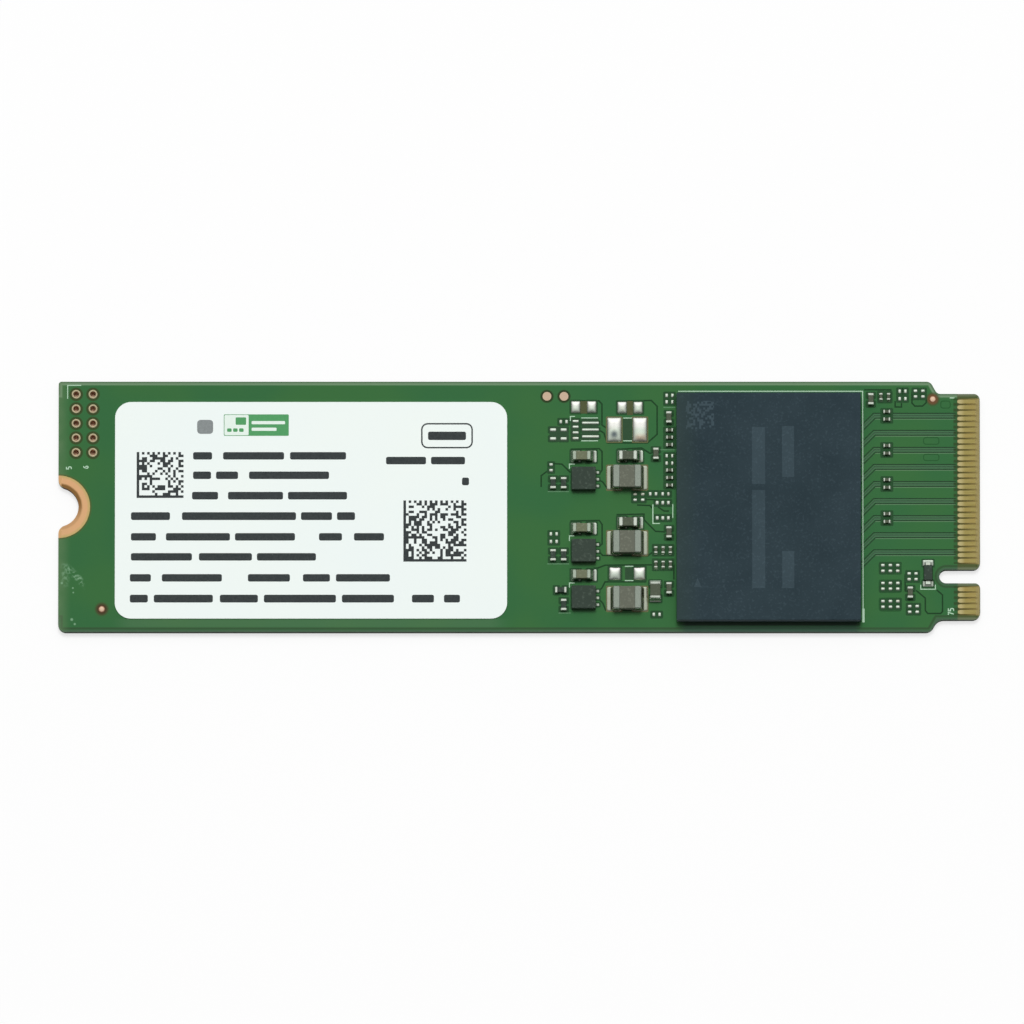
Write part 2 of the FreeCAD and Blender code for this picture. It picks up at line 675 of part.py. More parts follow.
FEEDBACK_COLUMNS = (2.66, 1.74)
FEEDBACK_DROP = 0.35
BARE_FEEDBACK_DROP = 0.4
RESISTOR_PLACES = [Place(REGULATOR_X - column, stage.regulator_y - FEEDBACK_DROP, "y")
                   for stage in FITTED_STAGES[:2] for column in FEEDBACK_COLUMNS]
RESISTOR_PLACES += [
    Place(REGULATOR_X - FEEDBACK_COLUMNS[1], FITTED_STAGES[2].regulator_y - 0.62, "y"),
    Place(REGULATOR_X - 1.99, FITTED_STAGES[2].regulator_y + 0.68, "x"),
]
BARE_SMALL_PLACES = [Place(REGULATOR_X - column, EMPTY_STAGE.regulator_y - BARE_FEEDBACK_DROP, "y")
                     for column in FEEDBACK_COLUMNS]

COUPLING_PLACES = [Place(COUPLING_X, lane_y(index) + side * COUPLING_SPREAD, "x")
                   for index in range(LANE_COUNT) if lane_is_coupled(index) for side in (-1, 1)]
DECOUPLING_PLACES = [left_of_package(0.59, y, "x") for y in (6.71, 6.07, 5.42, 3.18, 2.52, 1.86)]
DECOUPLING_PLACES += [left_of_package(offset, y, "y")
                      for offset in (1.79, 1.16, 0.53) for y in (-3.82, -5.1)]
DECOUPLING_PLACES += [right_of_package(offset, below_top(1.35), "y") for offset in (1.77, 2.43)]

BARE_TINY_PLACES = [left_of_package(0.59, y, "x") for y in (below_top(1.22), below_top(1.79), 4.47, 3.82)]
BARE_TINY_PLACES += [left_of_package(offset, 0.85, "y") for offset in (3.59, 2.93)]
BARE_TINY_PLACES += [left_of_package(offset, 1.12, "x") for offset in (2.02, 0.94)]
BARE_TINY_PLACES += [
    left_of_package(1.72, above_bottom(1.53), "x"),
    left_of_package(10.88, 3.45, "y"),
    left_of_package(9.79, 7.47, "x"),
    left_of_package(10.65, -2.4, "x"),
    left_of_package(10.65, -3.07, "x"),
]
BARE_TINY_PLACES += [right_of_package(3.65, below_top(offset), "x") for offset in (0.85, 1.51)]
BARE_TINY_PLACES += [right_of_package(offset, below_top(1.07), "y") for offset in (4.77, 5.42)]
BARE_TINY_PLACES += [right_of_package(offset, y, "y")
                     for offset in (1.91, 2.56, 3.2) for y in (-5.4, -6.97, -8.56)]
BARE_TINY_PLACES += [right_of_package(offset, -6.13, "y") for offset in (4.19, 4.79)]
BARE_TINY_PLACES += [right_of_package(offset, above_bottom(2.0), "y") for offset in (4.23, 4.88)]


def sensor_lands():
    """Empty footprint of a six-lead part, two rows of three."""
    x = PACKAGE_LEFT - SENSOR_FROM_PACKAGE
    return [block(x + column, SENSOR_Y + row, BOARD_TOP, SENSOR_LAND_WIDTH, SENSOR_LAND_LENGTH, LAND_HEIGHT)
            for column in centred(3, SENSOR_PITCH) for row in centred(2, SENSOR_ROW_SPACING)]


def solder_lands():
    """Every tinned land: under the fitted parts and on the empty footprints."""
    lands = sensor_lands() + diode_lands()
    for stage in (EMPTY_STAGE,) + FITTED_STAGES:
        lands += regulator_leads(stage.regulator_y, BOARD_TOP, LAND_HEIGHT,
                                 REGULATOR_LEFT_SETBACK, REGULATOR_RIGHT_TOE)
    pairs = [
        (MEDIUM_LANDS, INPUT_LAND_PLACES + OUTPUT_LAND_PLACES),
        (BULK_LANDS, [BULK_PLACE]),
        (MEDIUM_LANDS, [Place(REGULATOR_X, EMPTY_STAGE.regulator_y + INPUT_RISE, "x")]),
        (MEDIUM_LANDS, [Place(OUTPUT_X, EMPTY_STAGE.output_y, "x")]),
        (LARGE_LANDS, [Place(INDUCTOR_X, FITTED_STAGES[2].output_y, "x")]),
        (INDUCTOR_LANDS, INDUCTOR_PLACES + [Place(INDUCTOR_X, EMPTY_STAGE.inductor_y, "x")]),
        (SMALL_LANDS, BYPASS_PLACES + RESISTOR_PLACES + BARE_SMALL_PLACES),
        (TINY_LANDS, COUPLING_PLACES + DECOUPLING_PLACES + BARE_TINY_PLACES),
    ]
    for pair, places in pairs:
        for place in places:
            lands += lands_at(pair, place)
    return lands


# One file for each node

def save_chip(name, size, place):
    """A chip with hollow end caps, as two nodes."""
    save(name, [chip_body(size, place)])
    save(name + "_terminals", chip_terminals(size, place))


def save_small_chips(name, terminals_name, size, places):
    """Like small chips, as a group of bars and a group of end blocks."""
    chips = [small_chip(size, place) for place in places]
    save(name, [bar for bar, ends in chips])
    save(terminals_name, [end for bar, ends in chips for end in ends])


def main():
    os.makedirs("parts", exist_ok=True)
    save("circuit_board", [circuit_board()])
    save("retention_pad_top", [retention_pad(BOARD_TOP - COPPER_THICKNESS)])
    save("retention_pad_bottom", [retention_pad(0)])
    save("edge_contacts_top", edge_contacts(BOARD_TOP - COPPER_THICKNESS, 0))
    save("edge_contacts_bottom", edge_contacts(0, CONTACT_PITCH / 2))
    save("header_barrels", [header_barrel(x, y) for x, y in header_places()])
    save("test_pads", test_pads())
    save("fiducial_marks", fiducial_marks())
    save("solder_lands", solder_lands())
    save("label", [label()])
    save("package_substrate", [package_substrate()])
    save("package_mould", [package_mould()])
    save("package_solder_balls", package_solder_balls())
    for number, stage in enumerate(FITTED_STAGES, 1):
        save(f"regulator_{number}", [regulator_body(stage.regulator_y)])
        leads = regulator_leads(stage.regulator_y, LAND_TOP, REGULATOR_LEAD_THICKNESS, 0, 0)
        save(f"regulator_{number}_leads", leads)
    for number, place in enumerate(INDUCTOR_PLACES, 1):
        save_chip(f"inductor_{number}", INDUCTOR, place)
    for number, place in enumerate(INPUT_PLACES, 1):
        save_chip(f"input_capacitor_{number}", MEDIUM, place)
    for number, place in enumerate(OUTPUT_PLACES, 1):
        save_chip(f"output_capacitor_{number}", MEDIUM, place)
    save_chip("bulk_capacitor", BULK, BULK_PLACE)
    for number, place in enumerate(BYPASS_PLACES, 1):
        name = f"bypass_capacitor_{number}"
        save_small_chips(name, name + "_terminals", SMALL, [place])
    save_small_chips("coupling_capacitors", "coupling_capacitor_terminals", TINY, COUPLING_PLACES)
    save_small_chips("decoupling_capacitors", "decoupling_capacitor_terminals", TINY, DECOUPLING_PLACES)
    save_small_chips("chip_resistors", "chip_resistor_terminals", RESISTOR, RESISTOR_PLACES)
    save("diode", [diode_body()])
    save("diode_leads", diode_leads())


main()
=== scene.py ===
# %% [markdown]
# # A gumstick drive, dressed for its photograph
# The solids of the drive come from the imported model: a thin green board with a
# gold edge connector, one large memory package, a paper label and a crowd of
# small chips. This lesson keeps that frame fixed and gives every solid its
# finish, and it builds the soft metal of the solder, the printed ink and the
# rounded chip bodies as surfaces worked out with numpy.

# %% Load the frame
import json
import math

import bpy
import numpy as np
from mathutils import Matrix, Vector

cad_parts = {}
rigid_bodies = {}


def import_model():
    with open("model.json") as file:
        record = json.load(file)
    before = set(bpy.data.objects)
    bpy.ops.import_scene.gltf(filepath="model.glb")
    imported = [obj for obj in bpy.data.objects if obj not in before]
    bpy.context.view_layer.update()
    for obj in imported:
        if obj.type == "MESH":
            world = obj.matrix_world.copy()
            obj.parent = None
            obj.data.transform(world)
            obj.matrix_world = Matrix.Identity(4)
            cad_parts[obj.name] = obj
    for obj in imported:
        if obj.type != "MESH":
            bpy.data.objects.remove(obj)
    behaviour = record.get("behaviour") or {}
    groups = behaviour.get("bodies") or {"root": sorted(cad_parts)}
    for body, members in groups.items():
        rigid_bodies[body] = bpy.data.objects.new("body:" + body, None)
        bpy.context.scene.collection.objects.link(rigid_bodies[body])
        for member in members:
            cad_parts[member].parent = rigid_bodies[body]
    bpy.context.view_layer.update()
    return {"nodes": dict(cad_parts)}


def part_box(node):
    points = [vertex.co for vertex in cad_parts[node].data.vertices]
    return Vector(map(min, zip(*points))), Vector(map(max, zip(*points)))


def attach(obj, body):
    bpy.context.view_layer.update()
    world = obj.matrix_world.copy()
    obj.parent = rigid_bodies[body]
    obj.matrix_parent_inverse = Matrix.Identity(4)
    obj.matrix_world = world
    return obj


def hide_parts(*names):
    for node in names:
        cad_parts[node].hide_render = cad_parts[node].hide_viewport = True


for leftover in list(bpy.data.objects):
    bpy.data.objects.remove(leftover)

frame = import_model()
nodes = frame["nodes"]
MM = 0.001

# %% [markdown]
# ## Reading the solids
# A node of the frame may hold many small solids, such as all the solder lands.
# Their triangles come one solid after another, so cutting the list of points
# into equal runs gives one box for each solid. Every new piece below takes its
# place and size from such boxes, so it stays where the model has it.


# %% Boxes of the solids in one node
BOX_POINTS = 24


def solids(node, points_each=BOX_POINTS):
    """Lowest and highest corner, in millimetres, of each solid in a node.

    The node's points are cut into runs of points_each, one run to a solid."""
    flat = np.zeros(len(nodes[node].data.vertices) * 3)
    nodes[node].data.vertices.foreach_get("co", flat)
    runs = flat.reshape(-1, points_each, 3) / MM
    return runs.min(axis=1), runs.max(axis=1)


def halves(node):
    """The two equal solids of a node, such as the end caps of one chip."""
    return solids(node, len(nodes[node].data.vertices) // 2)


def extent(node):
    """Lowest and highest corner of a whole node, in millimetres."""
    return np.array(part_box(node)) / MM


land_low, land_high = solids("solder_lands")
board_low, board_high = extent("circuit_board")
print(len(land_low), "solder lands on a board", board_high - board_low, "mm")

# %% [markdown]
# ## Camera
# The photograph looks straight at the board from a little below its lower edge,
# through a long lens. Distances up the picture are 0.987 of those along it, and
# that ratio is the sine of the camera's height above the horizon: 80.9 degrees.
# Knowing the scale also lets a mark be placed by its pixel in the photograph.

# %% Camera at the photograph's angle
PIXELS = 1024
ACROSS = 11.52
UP = 11.375
ORIGIN_PIXEL = (519.2, 506.75)
CAMERA_AWAY = 2500.0
SENSOR = 36


def spot(pixels):
    """The place on the board's face, in millimetres, of pixels of the photograph.

    The offset from the frame's origin pixel, divided by the pixels in a millimetre."""
    offset = np.asarray(pixels, float) - ORIGIN_PIXEL
    return offset / (ACROSS, -UP)


lean = math.asin(UP / ACROSS)
aim = np.append(spot((PIXELS / 2, PIXELS / 2)), board_high[2])
eye = aim + CAMERA_AWAY * np.array([0, -math.cos(lean), math.sin(lean)])
camera = bpy.data.objects.new("camera", bpy.data.cameras.new("camera"))
camera.location = eye * MM
camera.rotation_euler = (math.pi / 2 - lean, 0, 0)
camera.data.sensor_width = SENSOR
camera.data.lens = SENSOR * CAMERA_AWAY * ACROSS / PIXELS
camera.data.clip_start = 0.1
bpy.context.scene.collection.objects.link(camera)
bpy.context.scene.camera = camera
print("camera", round(math.degrees(lean), 1), "degrees up, lens", round(camera.data.lens), "mm")

# %% [markdown]
# ## Light and floor
# One soft lamp stands high behind the board's upper edge, so each chip drops a
# short shadow towards the camera. It lights matt surfaces only. What the metals
# mirror is the world: one bright patch overhead, leaning to the same side as the
# lamp, and dark at the horizon. So solder shines where it is level or turned to
# the board's upper edge and is dark where it turns away. Together they give a
# level surface about as much light as makes a colour come out as it is written.

# %% Studio
KEY_HEIGHT = math.radians(71)
KEY_AWAY = 1.5
KEY_SIZE = 0.45
KEY_SHARE = 0.61
SKY_EDGE = 0.13
SKY_TOP = 1.25
SKY_LEAN = math.radians(28)

view = bpy.context.scene.view_settings
view.view_transform = "Standard"

world = bpy.data.worlds.new("studio")
world.use_nodes = True
bpy.context.scene.world = world

key = bpy.data.objects.new("key_lamp", bpy.data.lights.new("key_lamp", "AREA"))
key.data.size = KEY_SIZE
key.data.energy = KEY_SHARE * math.pi**2 * KEY_AWAY**2 / math.sin(KEY_HEIGHT)
key.location = (0, KEY_AWAY * math.cos(KEY_HEIGHT), KEY_AWAY * math.sin(KEY_HEIGHT))
key.rotation_euler = (KEY_HEIGHT - math.pi / 2, 0, 0)
key.visible_glossy = False
bpy.context.scene.collection.objects.link(key)
print("key lamp", round(key.data.energy, 2), "W")

# %% [markdown]
# ## Shader sums
# A finish is easier to read as a sum than as a web of nodes. The class below
# wraps one output of a node tree, so that adding or multiplying two wires adds
# the Math node that does it, and one method makes every other kind of node.


# %% Wires
class Wire:
    """An output socket of a material's nodes, or the bare tree where socket is None.

    Numpy's numbers leave a sum with a wire to the operators below."""

    __array_ufunc__ = None

    def __init__(self, tree, socket=None):
        self.tree = tree
        self.socket = socket

    def add(self, kind, settings=None, sockets=None, out=0):
        """A new node: its settings first, then its sockets as values or wires."""
        node = self.tree.nodes.new("ShaderNode" + kind)
        for name, value in (settings or {}).items():
            setattr(node, name, value)
        for name, value in (sockets or {}).items():
            if isinstance(value, Wire):
                self.tree.links.new(value.socket, node.inputs[name])
            else:
                node.inputs[name].default_value = value
        return Wire(self.tree, node.outputs[out])

    def math(self, operation, first, second=0.0):
        return self.add("Math", {"operation": operation}, {0: first, 1: second})

    def __add__(self, other):
        return self.math("ADD", self, other)

    def __sub__(self, other):
        return self.math("SUBTRACT", self, other)

    def __rsub__(self, other):
        return self.math("SUBTRACT", other, self)

    def __mul__(self, other):
        return self.math("MULTIPLY", self, other)

    __radd__ = __add__
    __rmul__ = __mul__

    def __mod__(self, other):
        return self.math("FLOORED_MODULO", self, other)

    def __abs__(self):
        return self.math("ABSOLUTE", self)

    def __or__(self, other):
        return self.math("MAXIMUM", self, other)

    def __and__(self, other):
        return self.math("MINIMUM", self, other)

    def root(self):
        return self.math("SQRT", self)

    def feed(self, shader, socket):
        """Link this wire to a socket of the shader."""
        self.tree.links.new(self.socket, shader.inputs[socket])


print("wires ready")

# %% Sky of the studio
sky = Wire(world.node_tree)
look = sky.add("TexCoord", out="Generated")
depth, rise = (sky.add("SeparateXYZ", {}, {"Vector": look}, name) for name in "YZ")
facing = (depth * math.sin(SKY_LEAN) + rise * math.cos(SKY_LEAN)) | 0.0
cubed = facing * facing * facing
glow = SKY_EDGE + SKY_TOP * cubed * cubed
background = world.node_tree.nodes["Background"]
background.inputs["Color"].default_value = (1, 1, 1, 1)
glow.feed(background, "Strength")
print("world", SKY_EDGE, "at the horizon and", SKY_EDGE + SKY_TOP, "at its brightest")

# %% [markdown]
# A few words are used by every finish: a colour written as it is seen on a
# screen, a soft step, a band between two values, a blend of two colours or of
# many coats, and noise measured in millimetres.


# %% Words of the finishes
def seen(colour):
    """A screen colour of 0 to 255 as the linear colour that a shader takes. A wire stays a wire."""
    if isinstance(colour, Wire):
        return colour
    screen = np.array(colour) / 255
    linear = np.where(screen <= 0.04045, screen / 12.92, ((screen + 0.055) / 1.055) ** 2.4)
    return (*linear.tolist(), 1.0)


def step(value, low, high):
    """0 below low, 1 above high and a smooth rise between."""
    ends = {"Value": value, "From Min": low, "From Max": high}
    return value.add("MapRange", {"interpolation_type": "SMOOTHSTEP"}, ends)


def band(value, low, high, soft):
    """1 between low and high, fading over soft at both ends."""
    return step(value, low - soft, low + soft) * (1 - step(value, high - soft, high + soft))


def inside(x, y, low, high, soft=0.03):
    """1 inside a rectangle."""
    return band(x, low[0], high[0], soft) * band(y, low[1], high[1], soft)


def blend(mask, under, over):
    """The colour under where mask is 0 and over where it is 1."""
    ends = {0: mask, 6: seen(under), 7: seen(over)}
    return mask.add("Mix", {"data_type": "RGBA"}, ends, 2)


def layered(colour, *coats):
    """A colour under coats laid one after another, each a mask and the colour it brings."""
    for mask, over in coats:
        colour = blend(mask, colour, over)
    return colour


print("white is written as", seen((255, 255, 255)))


# %% Noise, coordinates and materials
def noise(place, scale, detail=2.0, stretch=(1, 1, 1)):
    """Noise with scale lumps to a millimetre, drawn out where stretch is small."""
    drawn = place.add("VectorMath", {"operation": "MULTIPLY"}, {0: place, 1: stretch})
    return place.add("TexNoise", {}, {"Vector": drawn, "Scale": scale, "Detail": detail})


def surface(name, constants):
    """A material, its shader, and a wire for a point's place in millimetres."""
    material = bpy.data.materials.new(name)
    material.use_nodes = True
    tree = material.node_tree
    shader = tree.nodes["Principled BSDF"]
    for socket, value in constants.items():
        shader.inputs[socket].default_value = value
    metres = Wire(tree).add("TexCoord", out="Object")
    place = metres.add("VectorMath", {"operation": "SCALE"}, {"Vector": metres, "Scale": 1 / MM}, "Vector")
    return material, shader, place


def axes(place):
    """The three coordinates of a place as wires."""
    return [place.add("SeparateXYZ", {}, {"Vector": place}, name) for name in "XYZ"]


def bumps(height, strength, depth, shader):
    """Raise the surface by depth millimetres where height is 1."""
    rise = {"Height": height, "Strength": strength, "Distance": depth * MM}
    height.add("Bump", {}, rise).feed(shader, "Normal")


def paint(shader, colour, grain, rough, spread, relief=()):
    """Colour, a roughness that rises by spread with the grain, and bumps of a strength and depth."""
    colour.feed(shader, "Base Color")
    (rough + spread * grain).feed(shader, "Roughness")
    if relief:
        bumps(grain, *relief, shader)


def grained(name, constants, dark, pale, scale, rough, spread, relief=()):
    """A finish between two colours, whose one grain also sets its roughness and relief."""
    material, shader, place = surface(name, constants)
    grain = noise(place, scale)
    paint(shader, blend(grain, dark, pale), grain, rough, spread, relief)
    return material


print("a place is measured in millimetres,", round(1 / MM), "to the metre")

# %% [markdown]
# ## Solder mask
# The board is glass cloth under green lacquer. The lacquer is thin over copper
# and thick in the gaps, so poured copper looks a little paler than the lines
# cut into it. The cut edges and the strip between the contacts are bare
# laminate, brown green and fibrous. The board's height tells these apart:
# the lacquer lies at the two faces, the laminate between them. The lacquer stops
# short of the cut edge, so a rim follows the whole outline, pale where it faces
# the lamp and dark where it turns away. It needs each point's distance from the
# outline, which is put together from boxes, a slot and a circle.

# %% Where the copper is
FACE = board_high[2]
GROOVE_DEPTH = 0.03
LANE_TOP = 8.0
LANE_PITCH = 1.5
LANE_BEND = 30.85
LANE_REACH = (-4.4, 8.4)
TRACE_MIDDLE = 0.105
TRACE_HALF = 0.055

SHOULDER = (36.0, 10.4625)
SHOULDER_LEAN = (0.873, 0.487)
TONGUE_HALF = 9.925
KEY_SLOT = (37.05, -6.125)
KEY_HALF = 0.6
NOTCH = (board_low[0], 0.0)
NOTCH_RADIUS = 1.75
NOTCH_RING = 2.75

ring_start = extent("retention_pad_top")[0][0]
contact_low, contact_high = extent("edge_contacts_top")
label_low, label_high = extent("label")
package_low, package_high = extent("package_mould")

contact_lows, contact_highs = solids("edge_contacts_top")
rows = np.argsort(contact_lows[:, 1])
key_row = int(np.argmax(np.diff(contact_lows[rows, 1])))
ROW_SPANS = [
    (contact_lows[rows[0], 1], contact_highs[rows[key_row], 1]),
    (contact_lows[rows[key_row + 1], 1], contact_highs[rows[-1], 1]),
]
print(len(rows), "contacts in two rows", np.round(ROW_SPANS, 2).tolist())


def straightened(x, y):
    """A point's height once the slanted left ends of the signal pairs are made level.

    Left of the bend the pairs run down at 45 degrees, so a point there is raised
    by its distance from the bend."""
    return y + ((LANE_BEND - x) | 0.0)


def lane_offset(x, y):
    """How far a point lies below the middle of the nearest signal pair: the pitch is wrapped away."""
    return ((LANE_TOP + LANE_PITCH / 2 - straightened(x, y)) % LANE_PITCH) - LANE_PITCH / 2


def radius_from(x, y, centre):
    """Distance of a point from a centre on the face."""
    across = x - centre[0]
    along = y - centre[1]
    return (across * across + along * along).root()


def ring_gap(x, y, centre, inner, outer, soft=0.03):
    """1 on a ring about centre, from the radius inner to outer."""
    return band(radius_from(x, y, centre), inner, outer, soft)


def edge_distance(x, y):
    """How far a point lies in from the board's outline.

    Body and tongue are each the least of the distances from their sides. The
    board is the greater of the two, less the key slot and the half-round notch."""
    out = abs(y)
    shoulder = (SHOULDER[0] - x) * SHOULDER_LEAN[0] - (out - SHOULDER[1]) * SHOULDER_LEAN[1]
    body = (board_high[1] - out) & (x - board_low[0]) & shoulder
    tongue = (TONGUE_HALF - out) & (board_high[0] - x)
    slot = radius_from(x & KEY_SLOT[0], y, KEY_SLOT) - KEY_HALF
    notch = radius_from(x, y, NOTCH) - NOTCH_RADIUS
    return (body | tongue) & slot & notch


# %% Header holes, pads and marks that the lacquer leaves open
HEADER_POINTS = 216
HEADER_MARGIN = 0.6
DISC_POINTS = 72

barrel_low, barrel_high = solids("header_barrels", HEADER_POINTS)
barrels = (barrel_low + barrel_high) / 2
header_low, header_high = barrels.min(axis=0)[:2], barrels.max(axis=0)[:2]
header_pitch = (header_high - header_low) / (1, 4)


def header_gap(x, y, inner, outer):
    """Rings round all ten holes at once: one ring, wrapped at the holes' pitch."""
    near = inside(x, y, header_low - HEADER_MARGIN, header_high + HEADER_MARGIN, 0.01)
    start = header_low - header_pitch / 2
    column = (x - start[0]) % header_pitch[0]
    row = (y - start[1]) % header_pitch[1]
    return near * ring_gap(column, row, header_pitch / 2, inner, outer)


test_pads = np.mean(solids("test_pads", DISC_POINTS), axis=0)
fiducials = np.mean(solids("fiducial_marks", DISC_POINTS), axis=0)
print(len(barrels), "header holes,", len(test_pads), "test pads,", len(fiducials), "marks")

# %% [markdown]
# The lacquer is one green under many thin coats. Each function below gives a few
# of them, as masks with the colours they bring, and they are laid on in order.


# %% Lanes, rim and strips of the lacquer
def lane_coats(x, y, z):
    """Signal pairs between package and contacts: grey traces, a painted highlight below, and dark grooves
    with painted shade.
    """
    offset = lane_offset(x, y)
    end = contact_low[0] - 0.2
    lanes = step(x, package_high[0], package_high[0] + 0.1) * (1 - step(x, end - 0.05, end + 0.05))
    lanes = lanes * band(straightened(x, y), *LANE_REACH, 0.02)
    trace = band(abs(offset), TRACE_MIDDLE - TRACE_HALF, TRACE_MIDDLE + TRACE_HALF, 0.02)
    sunk = band(z, FACE - GROOVE_DEPTH - 0.005, FACE - 0.012, 0.004)
    groove = blend(step(abs(offset), 0.04, 0.1), (58, 92, 66), (30, 66, 38))
    return [
        (lanes * trace * 0.45, (82, 116, 90)),
        # Painted highlight: the pale line below each pair stands for light caught by the pour's edge.
        (lanes * band(offset, 0.27, 0.33, 0.02) * 0.4, (130, 158, 128)),
        # Dark grooves: thick lacquer over the gap, darkened further by painted shade in the recess.
        (sunk, groove),
    ]


def rim_coats(x, y, inward, place):
    """The rim, lighter along the upper half and darker along the lower as painted light and shade, with a
    painted highlight inside it above and painted shade inside it below; and the paler notch end.
    """
    upper = step(y, -0.5, 0.5)
    lower = 1 - upper
    rim = 1 - step(inward, 0.12, 0.24)
    end = (1 - step(x, board_low[0], board_low[0] + 1.2)) * (0.2 + 0.4 * noise(place, 0.9, 1.0))
    return [
        # Painted highlight along the lacquer's edge, and a lit tone of the rim, on the upper half.
        (upper * band(inward, 0.1, 0.3, 0.1) * 0.85, (122, 152, 119)),
        (upper * rim * 0.5, (90, 112, 86)),
        # Painted shade along the lacquer's edge, and a shaded tone of the rim, on the lower half.
        (lower * band(inward, 0.22, 0.40, 0.06) * 0.8, (44, 72, 42)),
        (lower * rim * 0.8, (66, 90, 70)),
        (end, (106, 132, 94)),
    ]


def shade_coats(x, y):
    """The strips along the lower edge: pale below the label; below the package a painted shadow of the
    package, and the edge strip there darkened by painted shade.
    """
    below_label = band(x, label_low[0] + 0.6, label_high[0] - 0.6, 1.2)
    below_package = band(x, package_low[0] + 0.5, package_high[0] - 0.2, 0.4)
    foot = board_low[1] + 0.55
    return [
        (below_label * band(y, foot - 0.15, label_low[1], 0.15) * 0.35, (88, 122, 88)),
        # Painted shadow of the package on the lacquer.
        (below_package * band(y, foot, package_low[1] + 0.3, 0.1) * 0.8, (10, 34, 30)),
        # Painted shade on the rim and cut edge below the package.
        (below_package * (1 - step(y, foot - 0.1, foot + 0.1)) * 0.5, (38, 62, 62)),
    ]


print("lanes every", LANE_PITCH, "mm, straight from", LANE_BEND, "mm on")

# %% Dust and openings of the lacquer
DUST_STREAK = ((-39.2, -37.8), (-44.9, -44.2))
DUST_PATCH = ((-39.7, -39.1), (-6.9, -5.0))
SMUDGES = [(62, 583, 1.6), (73, 588, 1.3), (73.5, 592.5, 1.2), (72, 619.5, 2.0), (75, 624, 1.6)]


def dust_coat(x, y, place):
    """Dust at the lower left corner: a slanting streak, a patch and a few round smudges."""
    streak = band(x, *DUST_STREAK[0], 0.2) * band(x + y, *DUST_STREAK[1], 0.25)
    patch = 0.6 * band(x, *DUST_PATCH[0], 0.2) * band(y, *DUST_PATCH[1], 0.3)
    dust = (streak | patch) * step(noise(place, 4.5, 3.0), 0.4, 0.68)
    for across, down, size in SMUDGES:
        reach = size / ACROSS
        dust = dust | (1 - step(radius_from(x, y, spot((across, down))), reach * 0.3, reach))
    return dust * 0.6, (146, 188, 152)


def opening_coats(x, y):
    """Dark rings round the holes, pads and marks, and copper at the ends of the notch's ring."""
    coats = [(header_gap(x, y, 0.36, 0.59) * 0.9, (50, 64, 22))]
    for pad in test_pads:
        coats.append((ring_gap(x, y, pad, 0.36, 0.57, 0.05) * 0.9, (34, 48, 10)))
    for mark in fiducials:
        inner = (66, 48, 24) if mark[0] < 0 else (106, 70, 40)
        coats.append((ring_gap(x, y, mark, 0.0, 0.58, 0.12) * 0.8, (66, 70, 34)))
        coats.append((ring_gap(x, y, mark, 0.0, 0.45, 0.09) * 0.85, inner))
    coats.append((ring_gap(x, y, NOTCH, NOTCH_RING - 0.05, NOTCH_RING + 0.13, 0.06) * 0.5, (88, 84, 34)))
    lip = ring_gap(x, y, NOTCH, NOTCH_RADIUS, NOTCH_RING - 0.01)
    lip = lip * (1 - step(x, ring_start + 0.02, ring_start + 0.08))
    return coats + [(lip, (206, 162, 112))]


print(len(SMUDGES), "smudges, and copper at the notch up to", round(ring_start, 2), "mm")


# %% Lacquer, laminate and the whole board
FRINGE = 0.35
CONTACT_PITCH = 0.5


def lacquer(x, y, z, place):
    """Green of the coated faces, plain below and with all its coats above."""
    cloth = noise(place, 2.2, 3.0)
    plain = blend(step(noise(place, 0.16, 1.0), 0.35, 0.65), (40, 100, 53), (47, 103, 50))
    plain = blend(cloth * 0.22, plain, (62, 112, 64))
    inward = edge_distance(x, y)
    coats = lane_coats(x, y, z) + rim_coats(x, y, inward, place) + shade_coats(x, y)
    coats += [dust_coat(x, y, place)] + opening_coats(x, y)
    return blend(step(z, 0.3, 0.5), plain, layered(plain, *coats)), cloth, inward


def from_gap(y):
    """How far a point lies from the middle of the nearest gap between two contacts."""
    middle = (contact_lows[0, 1] + contact_highs[0, 1]) / 2
    return abs((y - middle) % CONTACT_PITCH - CONTACT_PITCH / 2)


def bare_laminate(x, y, inward, fibres, rows_here):
    """Laminate that the lacquer leaves bare: margins, gaps between the contacts and the bevel."""
    root, tip = contact_low[0], board_high[0]
    margin = blend(step(inward, 0.1, 0.3), (102, 112, 84), (72, 84, 42))
    gaps = blend(step(x, root + 0.5, root + 1.5), (84, 78, 30), (128, 112, 60))
    gaps = blend(step(x, root, root + 0.4), (42, 62, 24), gaps)
    gaps = blend(fibres * 0.25, gaps, (128, 114, 62))
    lines = (1 - step(from_gap(y), 0.03, 0.11)) * (1 - step(x, tip - 0.34, tip - 0.1))
    slope = layered(
        blend(fibres, (146, 132, 82), (166, 152, 102)),
        (lines * 0.6, (118, 102, 50)),
        (step(x, tip - 0.14, tip), (132, 126, 94)),
    )
    bevel = step(x, contact_high[0] - 0.03, contact_high[0] + 0.02) * rows_here
    return blend(bevel, blend(rows_here, margin, gaps), slope)


